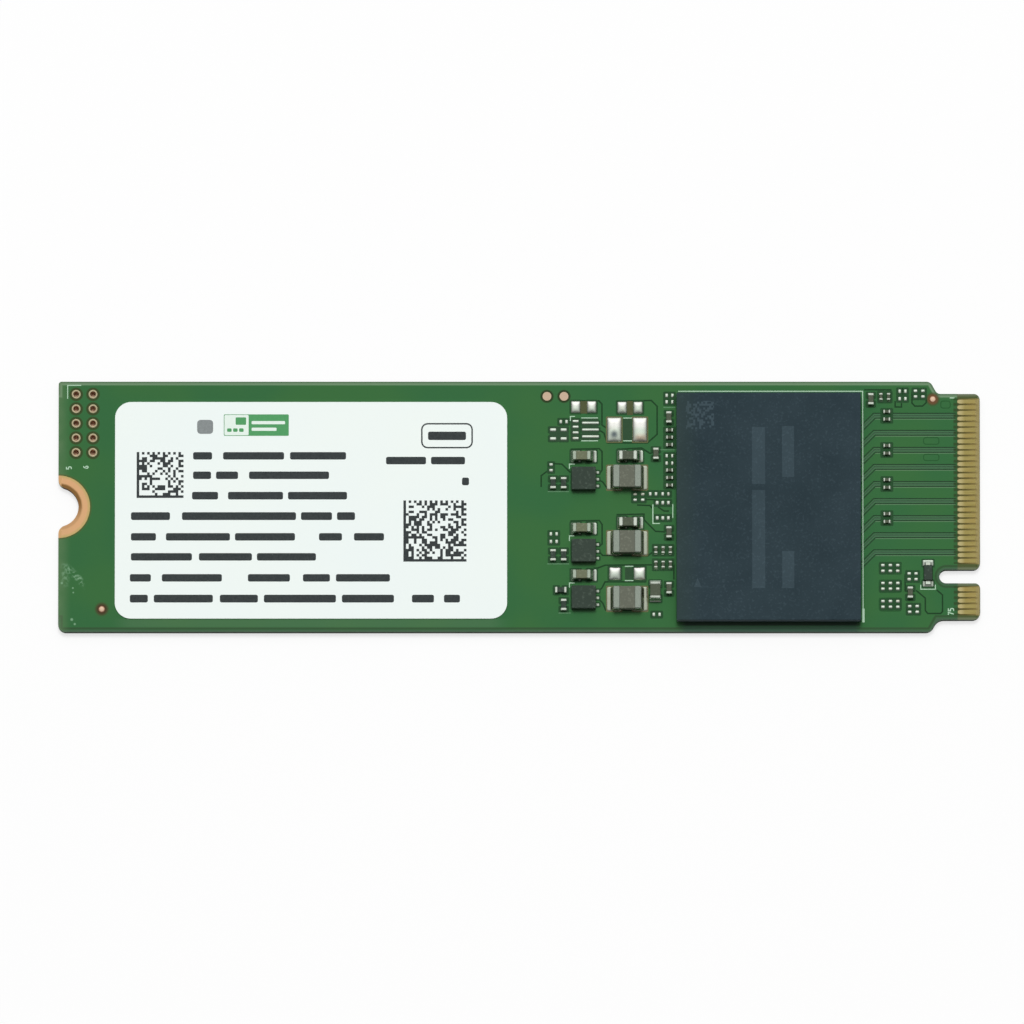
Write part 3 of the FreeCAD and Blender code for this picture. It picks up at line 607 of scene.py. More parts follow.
def solder_mask():
    """Lacquer on the faces, laminate on the edges, the bevel and between the contacts."""
    material, shader, place = surface("solder_mask", {"IOR": 1.5, "Specular IOR Level": 0.3})
    x, y, z = axes(place)
    green, cloth, inward = lacquer(x, y, z, place)
    fibres = noise(place, 1.5, 3.0, (1, 1, 9))
    spans = [band(y, low - 0.1, high + 0.1, 0.05) for low, high in ROW_SPANS]
    rows_here = spans[0] | spans[1]

    root = contact_low[0]
    fringe = step(x, root - FRINGE - 0.06, root - FRINGE + 0.06) * rows_here
    fringe = fringe * (1 - 0.7 * step(from_gap(y), 0.06, 0.18))
    green = blend(fringe * 0.9, green, (40, 66, 26))
    bare = bare_laminate(x, y, inward, fibres, rows_here)

    wall = band(z, 0.06, FACE - 0.055, 0.008) * (1 - step(inward, 0.01, 0.03))
    # Painted shade: the cut faces are coloured darker than the bare laminate, and the notch's wall gets
    # the laminate's brown deepened by painted shade.
    notch_wall = 1 - step(radius_from(x, y, NOTCH), NOTCH_RADIUS + 0.3, NOTCH_RADIUS + 0.4)
    cut = blend(notch_wall, blend(fibres, (40, 54, 44), (64, 74, 58)), (88, 52, 22))
    colour = blend(wall, blend(step(x, root - 0.1, root + 0.06), green, bare), cut)

    colour.feed(shader, "Base Color")
    (0.36 + 0.16 * cloth + 0.25 * wall).feed(shader, "Roughness")
    bumps(cloth, 0.25, 0.02, shader)
    return material


mask_finish = solder_mask()
print(mask_finish.name, len(mask_finish.node_tree.nodes), "nodes")

# %% [markdown]
# ## Metals
# Four metals show. The contacts are hard gold, wiped by a socket along their
# length. The pads that the lacquer leaves open are copper under a thin clear
# film. The lands carry reflowed solder, smooth and bright, and the chips' end
# caps are plated tin, duller and grained.


# %% Gold
def contact_gold():
    """Gold with wipe marks: noise drawn out along the contacts.

    The lacquer laps over the root, so the corners there are dark and the middle bright."""
    material, shader, place = surface("contact_gold", {"Metallic": 1.0})
    x, y, _ = axes(place)
    wipe = noise(place, 3.0, 3.0, (0.35, 3, 1))
    along = x - contact_low[0]
    lap = 1 - step(along * 0.6 + from_gap(y), 0.1, 0.22)
    colour = layered(
        blend(wipe, (142, 128, 66), (188, 174, 112)),
        (step(noise(place, 0.9), 0.5, 0.72) * 0.18, (186, 140, 72)),
        ((1 - step(along, 0.2, 0.7)) * 0.7, (204, 192, 142)),
        (lap * 0.85, (58, 66, 24)),
    )
    paint(shader, colour, wipe, 0.24, 0.14)
    return material


gold_finish = contact_gold()
print(gold_finish.name, len(gold_finish.node_tree.nodes), "nodes")


# %% Copper
def filmed_copper(name, tint):
    """Copper, a little mottled by its clear film; tint gives its colour at a place."""
    material, shader, place = surface(name, {"Metallic": 0.6})
    mottle = noise(place, 1.6, 3.0)
    paint(shader, tint(*axes(place), mottle), mottle, 0.40, 0.2)
    return material


def notch_tint(x, y, z, mottle):
    """The ring round the notch: a brown band inside, deepened over its upper half by painted shade; bare
    in the middle; under lacquer at its rim.
    """
    out = radius_from(x, y, NOTCH) + 0.1 * mottle
    # Painted shade: the brown band is darkest over the upper half of the ring.
    inner_brown = (1 - step(out, 2.0, 2.2)) * (0.3 + 0.7 * step(y, -1.4, 0.6))
    bare = blend(mottle, (236, 178, 128), (244, 198, 146))
    return layered(bare, (inner_brown, (146, 106, 56)), (step(out, 2.5, 2.72), (218, 188, 124)))


def ring_tint(x, y, z, mottle):
    """The header's rings, pale on the face and a darker copper brown down the bores, darkened there as
    painted shade.
    """
    # Painted shade: below the face the bores are coloured darker.
    face = step(z, FACE - 0.06, FACE + 0.01)
    return blend(face, (188, 150, 122), blend(mottle, (190, 174, 138), (216, 204, 168)))


def disc_tint(x, y, z, mottle):
    """The test pads, the same all over."""
    return blend(mottle, (212, 178, 148), (236, 210, 184))


def mark_tint(x, y, z, mottle):
    """The two alignment marks: bare and bright in the middle, darker towards the rim as painted shade."""
    out = radius_from(x, y, fiducials[0]) & radius_from(x, y, fiducials[1])
    # Painted shade: the rim of each mark is darkened.
    return blend(step(out, 0.15, 0.29), (248, 214, 184), (150, 92, 62))


copper_finish = filmed_copper("notch_copper", notch_tint)
ring_finish = filmed_copper("ring_copper", ring_tint)
disc_finish = filmed_copper("disc_copper", disc_tint)
mark_finish = filmed_copper("mark_copper", mark_tint)
print("coppers:", copper_finish.name, ring_finish.name, disc_finish.name, mark_finish.name)

# %% Solder and tin
STAGES = (1, 2, 3)
BRICKS = [f"input_capacitor_{n}" for n in STAGES] + ["output_capacitor_1", "output_capacitor_2"]
COIL_LAND = 0.6
BRICK_SHADE = 0.45
# Spots on the solder: a painted dark reflection on the largest land, a tan patch, and painted highlights
# on the upper halves of the larger empty lands.
SOLDER_DARK_REFLECTION = (614.2, 434.6)
SOLDER_TAN = ((635, 441), (647, 435))
SOLDER_HIGHLIGHTS = [((606, 428), (648, 418)), ((609, 572), (647, 566)), ((570, 406), (645, 401))]


def reflowed_solder():
    """Bright solder, a little green, with faint warm patches where flux has dried.

    It is duller beside the inductors. Painted shade darkens it below the larger
    bricks, and a painted highlight brightens the upper half of the larger empty
    lands. The two largest lands carry a mark each: a painted dark reflection on
    one, a tan patch on the other."""
    material, shader, place = surface("reflowed_solder", {"Metallic": 1.0})
    x, y, _ = axes(place)
    flux = noise(place, 1.2)
    coats = [
        (step(flux, 0.55, 0.75) * 0.4, (204, 186, 156)),
        (step(noise(place, 0.9, 1.0), 0.5, 0.7) * 0.25, (150, 160, 152)),
    ]
    for low, high in (extent(f"inductor_{n}") for n in STAGES):
        coats.append((inside(x, y, low - COIL_LAND, high + COIL_LAND) * 0.75, (186, 192, 170)))
    # Painted shade below the larger bricks.
    for low, high in (extent(f"{brick}_terminals") for brick in BRICKS):
        shade_low = (low[0] + 0.1, low[1] - BRICK_SHADE)
        shade_high = (high[0] + 0.15, low[1] + 0.02)
        coats.append((inside(x, y, shade_low, shade_high, 0.08) * 0.85, (30, 48, 32)))
    # Painted highlights on the upper halves of the larger empty lands.
    for patch in SOLDER_HIGHLIGHTS:
        coats.append((inside(x, y, *map(spot, patch), 0.3), (255, 255, 248)))
    # Painted reflection: a dark spot on the largest land.
    dark_reflection = 1 - step(radius_from(x, y, spot(SOLDER_DARK_REFLECTION)), 0.06, 0.52)
    coats.append((dark_reflection * 0.9, (76, 88, 96)))
    coats.append((inside(x, y, *map(spot, SOLDER_TAN), 0.3) * 0.6, (200, 160, 128)))
    paint(shader, layered((222, 234, 218), *coats), flux, 0.20, 0.15, (0.15, 0.03))
    return material


def plated_tin(name, dark, pale):
    """Plated tin, grained and half matt."""
    return grained(name, {"Metallic": 0.85}, dark, pale, 9.0, 0.30, 0.2, (0.4, 0.01))


solder_finish = reflowed_solder()
tin_finish = plated_tin("plated_tin", (158, 172, 154), (206, 220, 200))
bright_tin_finish = plated_tin("bright_tin", (204, 214, 198), (240, 248, 236))
dull_tin_finish = plated_tin("dull_tin", (130, 142, 130), (180, 190, 176))
print(solder_finish.name, "and", tin_finish.name, bright_tin_finish.name, dull_tin_finish.name)

# %% [markdown]
# ## Moulding, ceramic and paper
# The memory package and the regulators are black moulding compound: matt, with
# a fine speckle of silica. The capacitors are fired ceramic, brown grey, and
# the inductors a pressed grey powder. The label is coated paper, very slightly
# green in this light, and the printing on it is dull ink.


# %% Speckled bodies
def speckled(name, dark, pale, size, strength, rough):
    """A matt body: fine specks of the pale colour over the dark one."""
    material, shader, place = surface(name, {"IOR": 1.5, "Specular IOR Level": 0.35})
    specks = noise(place, size)
    drift = noise(place, size * 0.06)
    colour = blend(step(specks, 0.5, 0.8) * strength + drift * 0.12, dark, pale)
    paint(shader, colour, specks, rough, 0.14, (0.35, 0.012))
    return material


black_finish = speckled("chip_moulding", (47, 60, 51), (87, 100, 89), 4.0, 0.6, 0.55)
ceramic_finish = speckled("fired_ceramic", (104, 110, 85), (136, 144, 119), 6.0, 0.6, 0.5)
dark_ceramic_finish = speckled("dark_ceramic", (76, 84, 68), (108, 116, 98), 6.0, 0.6, 0.5)
ferrite_finish = speckled("pressed_powder", (97, 101, 88), (131, 135, 120), 5.0, 0.6, 0.55)
substrate_finish = speckled("package_laminate", (38, 58, 48), (60, 84, 66), 3.0, 0.4, 0.45)
print("bodies:", black_finish.name, ceramic_finish.name, ferrite_finish.name, substrate_finish.name)

# %% [markdown]
# A laser roughens the moulding to mark it, and the marks are only a shade paler
# than the body, so they belong in the finish and not in the shape. A triangle
# shows the first ball; the rest are plain bars and a seeded patch of cells. The
# roof stands above the board, which lifts it in the picture by a few pixels.

# %% Marked moulding
ROOF_LIFT = (package_high[2] - FACE) * math.cos(lean) * ACROSS
MARK_BARS = [(752, 427, 765, 484), (752, 490, 765, 588), (782, 426, 794, 477), (782, 551, 794, 588)]
MARK_PATCH = (686, 401, 714, 429)
MARK_TRIANGLE = (693.6, 577.5, 701.3, 587.0)
PATCH_CELLS = 14


def on_roof(left, top, right, bottom):
    """Corners in millimetres of a rectangle of pixels on the package's roof."""
    return spot((left, bottom + ROOF_LIFT)), spot((right, top + ROOF_LIFT))


def laser_marks(x, y, place):
    """1 on the bars, the drawn cells of the patch and the triangle."""
    low, high = on_roof(*MARK_PATCH)
    cell = (high[0] - low[0]) / PATCH_CELLS
    snap = place.add("VectorMath", {"operation": "SNAP"}, {0: place, 1: (cell, cell, 10)})
    draw = step(place.add("TexWhiteNoise", {}, {"Vector": snap}), 0.49, 0.51)
    marks = inside(x, y, low, high) * draw * 1.5
    for bar in MARK_BARS:
        marks = marks | inside(x, y, *on_roof(*bar))
    low, high = on_roof(*MARK_TRIANGLE)
    slope = (high[0] - low[0]) / 2 / (high[1] - low[1])
    side = (high[1] - y) * slope - abs(x - (low[0] + high[0]) / 2)
    return marks | step(side, -0.02, 0.02) * inside(x, y, low, high)


def marked_moulding():
    """Speckled black moulding with faint laser marks on its roof."""
    material, shader, place = surface("package_moulding", {"IOR": 1.5, "Specular IOR Level": 0.25})
    x, y, z = axes(place)
    specks = noise(place, 5.0)
    roof = step(z, package_high[2] - 0.02, package_high[2] - 0.01)
    shade = step(specks, 0.5, 0.8) * 0.2 + noise(place, 0.3) * 0.22
    shade = shade + roof * laser_marks(x, y, place) * 0.2
    left = 1 - step(x, package_low[0], package_low[0] + 2.5)
    colour = blend(left * 0.4, blend(shade, (28, 45, 52), (83, 102, 111)), (50, 68, 60))
    paint(shader, colour, specks, 0.5, 0.14, (0.35, 0.012))
    return material


mould_finish = marked_moulding()
print(mould_finish.name, len(mould_finish.node_tree.nodes), "nodes")


# %% Paper and inks
def coated_paper():
    """Pale coated paper: a slow drift of tone and a faint fibre relief."""
    material, shader, place = surface("coated_paper", {"IOR": 1.45, "Specular IOR Level": 0.3})
    colour = blend(noise(place, 0.1, 1.0), (238, 247, 246), (242, 249, 243))
    paint(shader, colour, noise(place, 5.0, 3.0), 0.42, 0.16, (0.15, 0.006))
    return material


def ink(name, thin, thick, rough=0.6):
    """Printed ink, uneven in cover."""
    return grained(name, {"IOR": 1.45, "Specular IOR Level": 0.2}, thin, thick, 7.0, rough, 0.1)


paper_finish = coated_paper()
dark_ink = ink("label_ink_dark", (70, 76, 76), (44, 48, 50))
grey_ink = ink("label_ink_grey", (150, 156, 156), (122, 128, 128))
green_ink = ink("label_ink_green", (92, 164, 108), (78, 150, 94))
pale_ink = ink("label_ink_pale", (236, 246, 238), (224, 240, 230))
silk_ink = ink("silk_ink", (158, 194, 164), (196, 224, 200))
faint_ink = ink("silk_ink_worn", (86, 130, 94), (108, 150, 114))
gap_ink = ink("lacquer_gap", (24, 58, 30), (32, 68, 38), 0.5)
soft_gap_ink = ink("lacquer_gap_soft", (36, 84, 44), (44, 92, 50), 0.5)
border_ink = ink("land_border", (34, 70, 40), (44, 82, 50), 0.5)
rim_ink = ink("land_rim", (92, 96, 62), (112, 112, 78), 0.5)
deep_ink = ink("lacquer_deep", (42, 72, 46), (54, 82, 58), 0.5)
olive_ink = ink("lacquer_olive", (72, 76, 46), (88, 94, 64), 0.5)
print(len(bpy.data.materials), "finishes so far")

# %% Dress the solids that keep their own shape
KEPT = {
    "circuit_board": mask_finish,
    "edge_contacts_top": gold_finish,
    "edge_contacts_bottom": gold_finish,
    "retention_pad_top": copper_finish,
    "retention_pad_bottom": copper_finish,
    "label": paper_finish,
    "diode": black_finish,
    "diode_leads": solder_finish,
}
for name, finish in KEPT.items():
    nodes[name].data.materials.clear()
    nodes[name].data.materials.append(finish)
print(len(KEPT), "solids dressed as they are")

# %% [markdown]
# ## Rings, skins and pieces
# Nearly every new shape here is a stack of rings. A ring is a rounded rectangle
# seen from above; the stack follows a profile of inset against height. Worked
# out as arrays with one axis for the copies, one for the rings and one for the
# points round each ring, two hundred lands cost no more code than one.


# %% Rings
def rounded_ring(half_x, half_y, corner, steps=4):
    """A rounded rectangle: four quarter circles about its corners' centres.

    x = sign * (half_x - corner) + corner * cos(turn), and y alike with sin."""
    quarter = np.linspace(0, np.pi / 2, steps + 1)
    turn = np.concatenate([quarter + side * np.pi / 2 for side in range(4)])
    sign_x = np.repeat([1, -1, -1, 1], steps + 1)
    sign_y = np.repeat([1, 1, -1, -1], steps + 1)
    x = sign_x * (half_x - corner) + corner * np.cos(turn)
    y = sign_y * (half_y - corner) + corner * np.sin(turn)
    return x, y


def stack(x, y, z):
    """Rings as one array of points, whatever shapes broadcast together."""
    return np.stack(np.broadcast_arrays(x, y, z), axis=-1)


def spread_out(low, high):
    """Middles and half sizes of boxes, with free axes for the rings and the points round them."""
    low, high = (np.atleast_2d(corner)[:, None, None] for corner in (low, high))
    return (low + high) / 2, (high - low) / 2


def skin(points, closed=False):
    """Quads between neighbouring rings of each copy, capped or joined end to end."""
    points = points.reshape((-1,) + points.shape[-3:])
    copies, rings, around, _ = points.shape
    index = np.arange(copies * rings * around).reshape(copies, rings, around)
    beside = np.roll(index, -1, axis=2)
    above = np.roll(index, -1, axis=1)
    corner = np.roll(beside, -1, axis=1)
    sides = np.stack([index, beside, corner, above], axis=-1)
    if closed:
        return points.reshape(-1, 3), sides.reshape(-1, 4).tolist()
    faces = sides[:, :-1].reshape(-1, 4).tolist()
    faces += index[:, 0, ::-1].tolist() + index[:, -1].tolist()
    return points.reshape(-1, 3), faces


def lofted(middle, half_x, half_y, corner, z):
    """Rounded rings about the boxes' middles, skinned in their order."""
    x, y = rounded_ring(half_x, half_y, corner)
    return skin(stack(middle[..., 0] + x, middle[..., 1] + y, z))


def join(skins):
    """Several skins as one, their point numbers carried on from one to the next."""
    starts = np.cumsum([0] + [len(points) for points, _ in skins])
    faces = [[start + i for i in face] for (_, some), start in zip(skins, starts) for face in some]
    return np.concatenate([points for points, _ in skins]), faces


# %% Pieces
SHARP = math.radians(42)


def piece(name, shape, finish, slot, *stands_for):
    """Put a skin into Blender as one piece that rides on the drive."""
    points, faces = shape
    mesh = bpy.data.meshes.new(name)
    mesh.from_pydata((points * MM).tolist(), [], faces)
    mesh.materials.append(finish)
    mesh.set_sharp_from_angle(angle=SHARP)
    mesh.polygons.foreach_set("use_smooth", [len(face) == 4 for face in faces])
    made = bpy.data.objects.new(name, mesh)
    bpy.context.scene.collection.objects.link(made)
    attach(made, "root")
    if stands_for:
        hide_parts(*stands_for)
    print(f"{name}: {len(faces)} faces")


def rounded_blocks(low, high, edge, corner, steps=3):
    """Blocks whose top edge is a quarter circle of radius edge.

    Up the wall the ring keeps its size; over the edge it shrinks by
    edge * (1 - cos) while it rises by edge * sin."""
    middle, half = spread_out(low, high)
    turn = np.linspace(0, np.pi / 2, steps + 1)
    inset = np.concatenate([[0], edge * (1 - np.cos(turn))])[:, None]
    drop = np.concatenate([[0], edge * (1 - np.sin(turn))])[:, None]
    z = (middle + half)[..., 2] - drop
    z[:, :1] = (middle - half)[..., 2]
    corner = np.maximum(corner - inset, 0.2 * corner)
    return lofted(middle, half[..., 0] - inset, half[..., 1] - inset, corner, z)


# %% [markdown]
# ## Floor
# The drive lies on a pale sheet that reaches past every view. It belongs to the studio and not to the
# drive. Most of what the camera sees of it is its own even white, which keeps the shadow faint; under the
# header's holes it has none, so that they stay dark.

# %% Pale floor
FLOOR_REACH = 3000.0
FLOOR_DROP = 0.02
FLOOR_GLOW = 0.72
HEADER_SHADE = 0.9


def pale_floor():
    """A matt sheet, nearly white, with a trace of drift and an even white for the camera."""
    material, shader, place = surface("pale_floor", {"Roughness": 0.9, "Specular IOR Level": 0.0})
    x, y, _ = axes(place)
    header = inside(x, y, header_low - HEADER_SHADE, header_high + HEADER_SHADE)
    white = blend(noise(place, 0.01, 1.0), (250, 250, 250), (252, 252, 252))
    blend(header, white, (232, 198, 168)).feed(shader, "Base Color")
    share = place.add("LightPath", out="Is Camera Ray") * FLOOR_GLOW * (1 - header)
    lit = Wire(place.tree, shader.outputs[0])
    even = place.add("Emission", {}, {"Color": (1, 1, 1, 1), "Strength": 1.0})
    both = place.add("MixShader", {}, {0: share, 1: lit, 2: even})
    both.feed(place.tree.nodes["Material Output"], "Surface")
    return material


floor_mesh = bpy.data.meshes.new("floor")
across, along = rounded_ring(FLOOR_REACH, FLOOR_REACH, FLOOR_REACH * 0.2)
floor_points = stack(across, along, board_low[2] - FLOOR_DROP) * MM
floor_mesh.from_pydata(floor_points.tolist(), [], [list(range(len(floor_points)))])
floor_mesh.materials.append(pale_floor())
floor = bpy.data.objects.new("floor", floor_mesh)
bpy.context.scene.collection.objects.link(floor)
print("floor", 2 * FLOOR_REACH * MM, "m across")

# %% [markdown]
# ## Memory package
# The package is a slab of moulding on a thin laminate, standing on rows of
# solder balls. Its top edge is very slightly rounded, which draws a pale line
# where the lamp catches it. The balls were squeezed flat as they melted, so
# each is a barrel: widest half way up, narrower at the two pads.

# %% Package slab, laminate and balls
BALL_POINTS = 36
BALL_BULGE = 0.22
SLAB_ROUNDING = (0.06, 0.12)
BASE_ROUNDING = (0.02, 0.08)

slab = rounded_blocks(package_low, package_high, *SLAB_ROUNDING)
piece("package_slab", slab, mould_finish, "mould", "package_mould")
base = rounded_blocks(*solids("package_substrate"), *BASE_ROUNDING)
piece("package_base", base, substrate_finish, "substrate", "package_substrate")


def solder_barrels(low, high, around=12, rings=5):
    """Squeezed balls: the radius is widest at mid height and falls off as a parabola."""
    middle, half = spread_out(low, high)
    up = np.linspace(-1, 1, rings)[:, None]
    turn = np.linspace(0, 2 * np.pi, around, endpoint=False)
    radius = half[..., 0] * (1 - BALL_BULGE * up**2)
    x = middle[..., 0] + radius * np.cos(turn)
    y = middle[..., 1] + radius * np.sin(turn)
    return skin(stack(x, y, middle[..., 2] + up * half[..., 2]))


balls = solder_barrels(*solids("package_solder_balls", BALL_POINTS))
piece("solder_balls", balls, solder_finish, "solder", "package_solder_balls")

# %% [markdown]
# ## Chips
# A chip capacitor is a fired brick with a metal cap on each end. The caps are
# dipped, so their corners are rounder than the brick's. Each body and each pair
# of caps replaces its own solid and keeps that solid's box. The table gives, for
# each kind of chip, how the boxes of its caps are read, how round the caps' edges
# are, and the finishes of body and caps.

# %% Chip bodies and end caps
KINDS = {
    "inductor": (halves, 0.09, ferrite_finish, "ferrite", dull_tin_finish),
    "input": (halves, 0.07, ceramic_finish, "ceramic", tin_finish),
    "output": (halves, 0.07, dark_ceramic_finish, "ceramic", bright_tin_finish),
    "bulk": (halves, 0.07, dark_ceramic_finish, "ceramic", bright_tin_finish),
    "bypass": (solids, 0.04, dark_ceramic_finish, "ceramic", bright_tin_finish),
    "coupling": (solids, 0.032, dark_ceramic_finish, "ceramic", bright_tin_finish),
    "decoupling": (solids, 0.032, dark_ceramic_finish, "ceramic", bright_tin_finish),
    "chip": (solids, 0.032, black_finish, "chip_black", bright_tin_finish),
}
CHIPS = [f"inductor_{n}" for n in STAGES] + BRICKS + ["bulk_capacitor"]
CHIPS += [f"bypass_capacitor_{n}" for n in range(1, 7)]
CHIPS += ["coupling_capacitors", "decoupling_capacitors", "chip_resistors"]

metal_ends = []
for body in CHIPS:
    cap_boxes, edge, finish, slot, cap_finish = KINDS[body.split("_")[0]]
    caps = body.removesuffix("s") + "_terminals"
    metal_ends.append(cap_boxes(caps))
    brick = rounded_blocks(*solids(body), edge * 0.5, edge * 0.6)
    piece(f"{body}_body", brick, finish, slot, body)
    tips = rounded_blocks(*metal_ends[-1], edge, edge * 1.8)
    piece(f"{body}_caps", tips, cap_finish, "tin", caps)

# %% Regulators
REGULATOR_ROUNDING = (0.05, 0.08)
LEAD_ROUNDING = (0.05, 0.07)

for name in (f"regulator_{n}" for n in STAGES):
    body = rounded_blocks(*solids(name, len(nodes[name].data.vertices)), *REGULATOR_ROUNDING)
    piece(f"{name}_body", body, black_finish, "chip_black", name)
    metal_ends.append(solids(f"{name}_leads"))
    leads = rounded_blocks(*metal_ends[-1], *LEAD_ROUNDING)
    piece(f"{name}_lands", leads, solder_finish, "solder", f"{name}_leads")
metal_ends.append(solids("diode_leads"))
cap_low, cap_high = (np.concatenate(corners) for corners in zip(*metal_ends))
print(len(cap_low), "metal ends stand on lands")

# %% [markdown]
# ## Solder
# Melted solder pulls itself into smooth forms. On an empty land it makes a low
# dome. Where a chip stands on the land it climbs the metal end in a hollow
# curve, steep at the top and flat at the land's edge. Both are stacks of rings
# that start from the land's outline, so together they replace the flat lands.

# %% Which lands carry a chip
meets = (land_low[:, None, :2] < cap_high[None, :, :2]) & (land_high[:, None, :2] > cap_low[None, :, :2])
meets = meets.all(axis=2)
fitted = meets.any(axis=1)
partner = meets.argmax(axis=1)
print(int(fitted.sum()), "lands carry a chip and", int((~fitted).sum()), "are empty")


# %% Domes and hollow skirts
LAND_EDGE = 0.02
DOME_STEEPNESS = 0.3
DOME_TURN = 0.47 * np.pi
DOME_REACH = 0.5
DOME_CORNER = 0.1
SKIRT_CLIMB = 0.5
SKIRT_CORNER = 0.3
SKIRT_POWER = 3.5
WIDE_SKIRT_POWER = 8.0
WIDE_LAND = 1.7
SKIRT_BULGE = 0.03
WIDE_SKIRT_BULGE = 0.045


def solder_domes(low, high, rings=8):
    """Empty lands: a quarter ellipse up from the outline, then level.

    The ring at the turn a is drawn in by reach * (1 - cos a) and raised by a
    share of reach * sin a. On a small land the reach takes in the whole width.
    The corners grow rounder on the way up."""
    middle, half = spread_out(low, high)
    reach = np.minimum(half[..., :2].min(axis=-1), DOME_REACH)
    turn = np.linspace(0, DOME_TURN, rings)
    size = np.concatenate([[1.0], np.cos(turn)])[:, None]
    lift = np.concatenate([[0.0], np.sin(turn)])[:, None]
    inset = reach * (1 - size)
    half_x, half_y = half[..., 0] - inset, half[..., 1] - inset
    round_all = np.minimum(half_x, half_y)
    foot = np.minimum(0.55 * reach, DOME_CORNER)
    corner = foot + np.clip(round_all - foot, 0, None) * np.minimum(1.6 * (1 - size), 1)
    edge = LAND_EDGE * (np.arange(rings + 1) > 0)[:, None]
    z = (middle - half)[..., 2] + edge + lift * reach * DOME_STEEPNESS
    return lofted(middle, half_x, half_y, np.minimum(corner, round_all), z)


def solder_skirts(low, high, end_low, end_high, rings=9):
    """Fitted lands: each ring lies between the land's outline and the metal end's.

    At the share t of the way in, the ring has risen by the climb times a power
    of t, which is flat at the land and steep at the metal, and by a small bulge
    that rounds the outer edge. A wide land has more of both."""
    land, land_half = spread_out(low, high)
    end, end_half = spread_out(end_low, end_high)
    t = np.concatenate([[0.0], np.linspace(0, 1, rings)])[:, None, None]
    middle = land * (1 - t) + end * t
    half = land_half * (1 - t) + end_half * t
    t = t[..., 0]
    is_wide = 2 * land_half[..., :2].max(axis=-1) > WIDE_LAND
    power = np.where(is_wide, WIDE_SKIRT_POWER, SKIRT_POWER)
    bulge = np.where(is_wide, WIDE_SKIRT_BULGE, SKIRT_BULGE)
    rise = bulge * (1 - (1 - t) ** 3) + SKIRT_CLIMB * 2 * end_half[..., 2] * t**power
    z = (land - land_half)[..., 2] + LAND_EDGE * (np.arange(rings + 1) > 0)[:, None] + rise
    return lofted(middle, half[..., 0], half[..., 1], SKIRT_CORNER * half[..., :2].min(axis=-1), z)


bare = solder_domes(land_low[~fitted], land_high[~fitted])
standing = partner[fitted]
held = solder_skirts(land_low[fitted], land_high[fitted], cap_low[standing], cap_high[standing])
piece("solder_joints", join([bare, held]), solder_finish, "solder", "solder_lands")

# %% [markdown]
# Poured copper keeps clear of every land it doesn't feed, and the bare gap shows
# as a dark border through the lacquer. Thin plates a little larger than the
# lands, laid under the solder, give those borders. Round the widest lands bare
# copper shows instead, as a tan rim. The plates' tops are staggered by a few
# thousandths of a millimetre at most, so that neighbours don't lie in one plane.

# %% Dark borders of the lands
BORDER = 0.13
SMALL_BORDER = 0.18
WIDE_BORDER = 0.09
SMALL_LAND = 0.7
BORDER_FOOT = FACE - 0.002
BORDER_TOP = FACE + 0.003
STAGGER = 0.0004
LEVELS = 9
longest = (land_high - land_low)[:, :2].max(axis=1)
wide = longest > WIDE_LAND
border = np.select([longest < SMALL_LAND, wide], [SMALL_BORDER, WIDE_BORDER], BORDER)[:, None]
border_low = np.column_stack([land_low[:, :2] - border, np.full(len(land_low), BORDER_FOOT)])
border_top = BORDER_TOP + STAGGER * (np.arange(len(land_low)) % LEVELS)
border_high = np.column_stack([land_high[:, :2] + border, border_top])
plates = [rounded_blocks(border_low[some], border_high[some], 0.001, 0.12, 1) for some in (~wide, wide)]
piece("land_borders", plates[0], border_ink, "board")
piece("wide_land_rims", plates[1], rim_ink, "board")

# %% [markdown]
# ## Plated holes and open pads
# The ten header holes are copper tubes with a flat ring on the upper face. One
# closed profile, carried round each hole's axis, gives tube, ring and bore in a
# single skin. The test pads and marks are discs with a softened rim.


# %% Header rings
def turned(profile, centres, around=32, closed=True):
    """A profile of radius and height carried round the vertical axis of each centre."""
    turn = np.linspace(0, 2 * np.pi, around, endpoint=False)
    radius, height = (np.asarray(profile)[:, k][:, None] for k in (0, 1))
    x = centres[:, 0][:, None, None] + radius * np.cos(turn)
    y = centres[:, 1][:, None, None] + radius * np.sin(turn)
    return skin(stack(x, y, height), closed)


BORE = 0.24
TUBE = 0.30
RING = 0.39
ring_top = barrel_high[0, 2]
ring_profile = [
    (TUBE, board_low[2] + 0.002),
    (TUBE, FACE),
    (RING, FACE),
    (RING, ring_top - 0.015),
    (RING - 0.02, ring_top - 0.002),
    (BORE + 0.05, ring_top),
    (BORE + 0.012, ring_top - 0.01),
    (BORE, ring_top - 0.04),
    (BORE, board_low[2] + 0.002),
]
piece("header_rings", turned(ring_profile, barrels), ring_finish, "copper", "header_barrels")


# %% Test pads and marks
PAD_SLOPE = 0.004
MARK_SLOPE = 0.07


def discs(node, slope):
    """Flat discs, each from its foot in the board over a rim as wide as slope to its middle."""
    low, high = solids(node, DISC_POINTS)
    radius, top = (high - low)[0, 0] / 2, high[0, 2]
    profile = [(radius, FACE - 0.01), (radius, FACE + 0.002), (radius - slope, top), (radius * 0.1, top)]
    return turned(profile, (low + high) / 2, closed=False)


piece("test_discs", discs("test_pads", PAD_SLOPE), disc_finish, "copper", "test_pads")
piece("mark_discs", discs("fiducial_marks", MARK_SLOPE), mark_finish, "copper", "fiducial_marks")

# %% [markdown]
# ## Printed and etched lines
# White lines are screen printed on the lacquer, and dark lines are gaps between
# poured areas of copper, seen through it. Both are ribbons: a small rectangle
# carried along a path, mitred at the turns. The paths are read off the
# photograph in its pixels and laid on the board's face.


